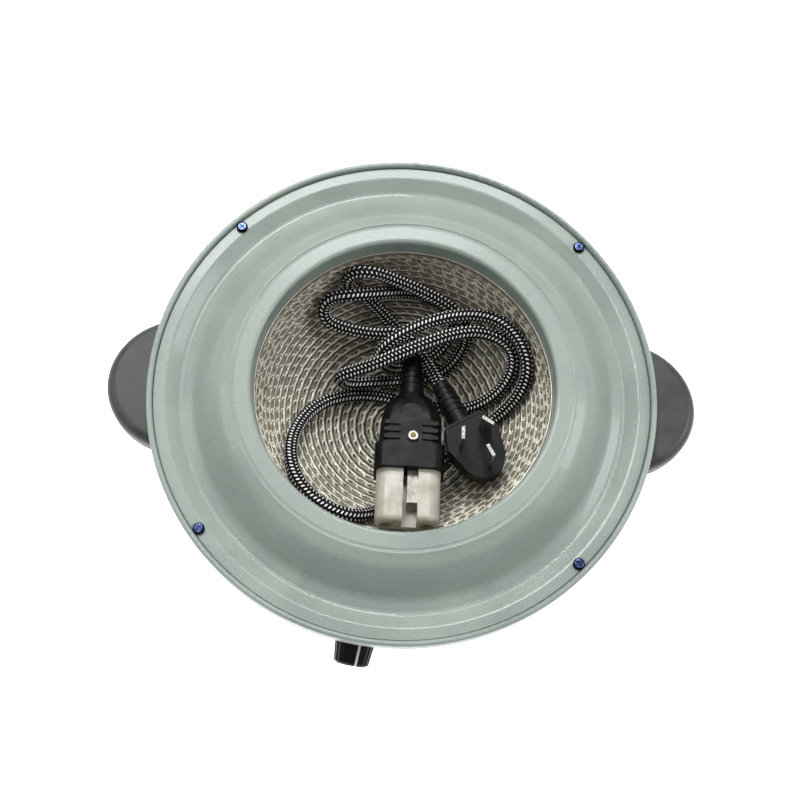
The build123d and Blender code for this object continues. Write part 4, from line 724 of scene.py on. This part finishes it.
put(["left_handle", "right_handle"],
    plastic("handle_grey", "2c2f31", "3d4042", rough=0.45, grain=1100, depth=0.0001))
put(["connector_body", "connector_boot"],
    plastic("connector_black", "050506", "161718", rough=0.38, blotch=150, Specular_IOR_Level=0.13))
put(["connector_nose"], ceramic_glaze())
put(["plug_body"], plastic("plug_black", "101112", "1f2022", rough=0.4, blotch=120, Specular_IOR_Level=0.2))
put(["switch_frame", "switch_terminals", "potentiometer"],
    plastic("switch_black", "141416", "2a2a2c", rough=0.35))
put(["switch_rocker"], plastic("rocker_red", "a81a17", "c23a33", rough=0.3))
put(["appliance_inlet", "terminal_block"], plastic("bakelite", "1b1715", "3a302b", rough=0.4))
put(["foot_1", "foot_2", "foot_3", "foot_4"], plastic("rubber", "18181a", "2c2c2e", rough=0.7))
put(["handle_screws"], metal("blue_zinc", "4a5a86", "7f90bb", rough=0.25))
# Painted shade: the cover screws' heads turn near-black (05070f) from 1.9 mm out from their centres, fully by
# 2.3 mm.
put(["cover_screws"], ringed_metal("blue_zinc_shaded_rim", [
    (COVER_SCREW_RADIUS * math.cos(angle), COVER_SCREW_RADIUS * math.sin(angle), COVER_SCREW_TOP)
    for angle in map(math.radians, COVER_SCREW_ANGLES)
], ("27335f", "6577a6"), "05070f", *COVER_SCREW_RIM, rough=0.2))
put(["base_screws", "foot_screws", "inlet_screws"], metal("zinc", "a9adb0", "d0d3d6", rough=0.3))
put(["connector_earth_spring"], metal("bright_spring", "6f6d69", "9b9892", rough=0.42, brushed=(1, 1, 8)))
put(["plug_blades", "plug_earth_blade", "inlet_pins", "inlet_earth_tongue"],
    metal("nickel", "c3c2bb", "e9e8e2", rough=0.22, brushed=(1, 1, 10)))
put(["connector_sleeves", "element_leads", "potentiometer_nut", "potentiometer_shaft"],
    metal("brass", "a98f4c", "cdb778", rough=0.3))
put(["heat_sink"], metal("aluminium", "b9bcbf", "d6d8da", rough=0.35, brushed=(10, 1, 1)))
put(["control_board"], plastic("board_green", "1d4d33", "2c6144", rough=0.4))
put(["triac"], plastic("component_black", "1c1d20", "35363a", rough=0.35))
put(["capacitor"], plastic("capacitor_yellow", "c39a2c", "d8b24c", rough=0.3))
put(["board_pillars", "inner_bowl"], metal("plain_steel", "8d9092", "b5b7b8", rough=0.4))
put(["insulation"], plastic("glass_wool", "c9bd8d", "e2d9b4", rough=0.95, grain=500, depth=0.0008))
put(["heating_element", "lead_bush"],
    plastic("glass_tape", "cfcab8", "e6e2d4", rough=0.8, grain=700, depth=0.0003))
put(["connector_screw"], ringed_metal(
    "screw_brass", [CONNECTOR_SCREW], ("3d3720", "5c5434"), "a29f94", *CONNECTOR_SCREW_RIM, rough=0.34
))
put(["knob"], knob_gloss(knob_centre, knob_axis, knob_mark))

# ---------------------------------------------------------------- stage
FLOOR_REACH = 3.0
WORLD_STRENGTH = 0.43
floor_mesh = bpy.data.meshes.new("floor")
corners = [(x * FLOOR_REACH, y * FLOOR_REACH, 0) for x, y in ((-1, -1), (1, -1), (1, 1), (-1, 1))]
floor_mesh.from_pydata(corners, [], [(0, 1, 2, 3)])
floor = bpy.data.objects.new("floor", floor_mesh)
scene.collection.objects.link(floor)
floor_mesh.materials.append(Tree("pale_floor").finish(
    "f4f4f4", 0.9, Emission_Color=rgb("ffffff"), Emission_Strength=1.0
))

world = bpy.data.worlds.new("studio")
scene.world = world
world.use_nodes = True
background = world.node_tree.nodes["Background"]
background.inputs["Color"].default_value = (1.0, 1.0, 1.0, 1.0)
background.inputs["Strength"].default_value = WORLD_STRENGTH
scene.view_settings.view_transform = "Standard"


def softbox(name, place, size, watts, aim=(0, 0, 0.1)):
    data = bpy.data.lights.new(name, "AREA")
    data.shape = "RECTANGLE"
    data.size, data.size_y = size
    data.energy = watts
    light = bpy.data.objects.new(name, data)
    scene.collection.objects.link(light)
    light.location = place
    light.rotation_euler = (Vector(aim) - Vector(place)).to_track_quat("-Z", "Y").to_euler()


softbox("key_softbox", (-0.18, 0.9, 1.38), size=(0.8, 0.55), watts=20)
softbox("left_softbox", (-1.1, 0.1, 0.9), size=(0.5, 0.6), watts=3)
softbox("right_softbox", (1.1, 0.1, 0.95), size=(0.5, 0.6), watts=7)
softbox("top_lamp", (-0.45, 0.05, 1.6), size=(0.16, 0.16), watts=1.8)
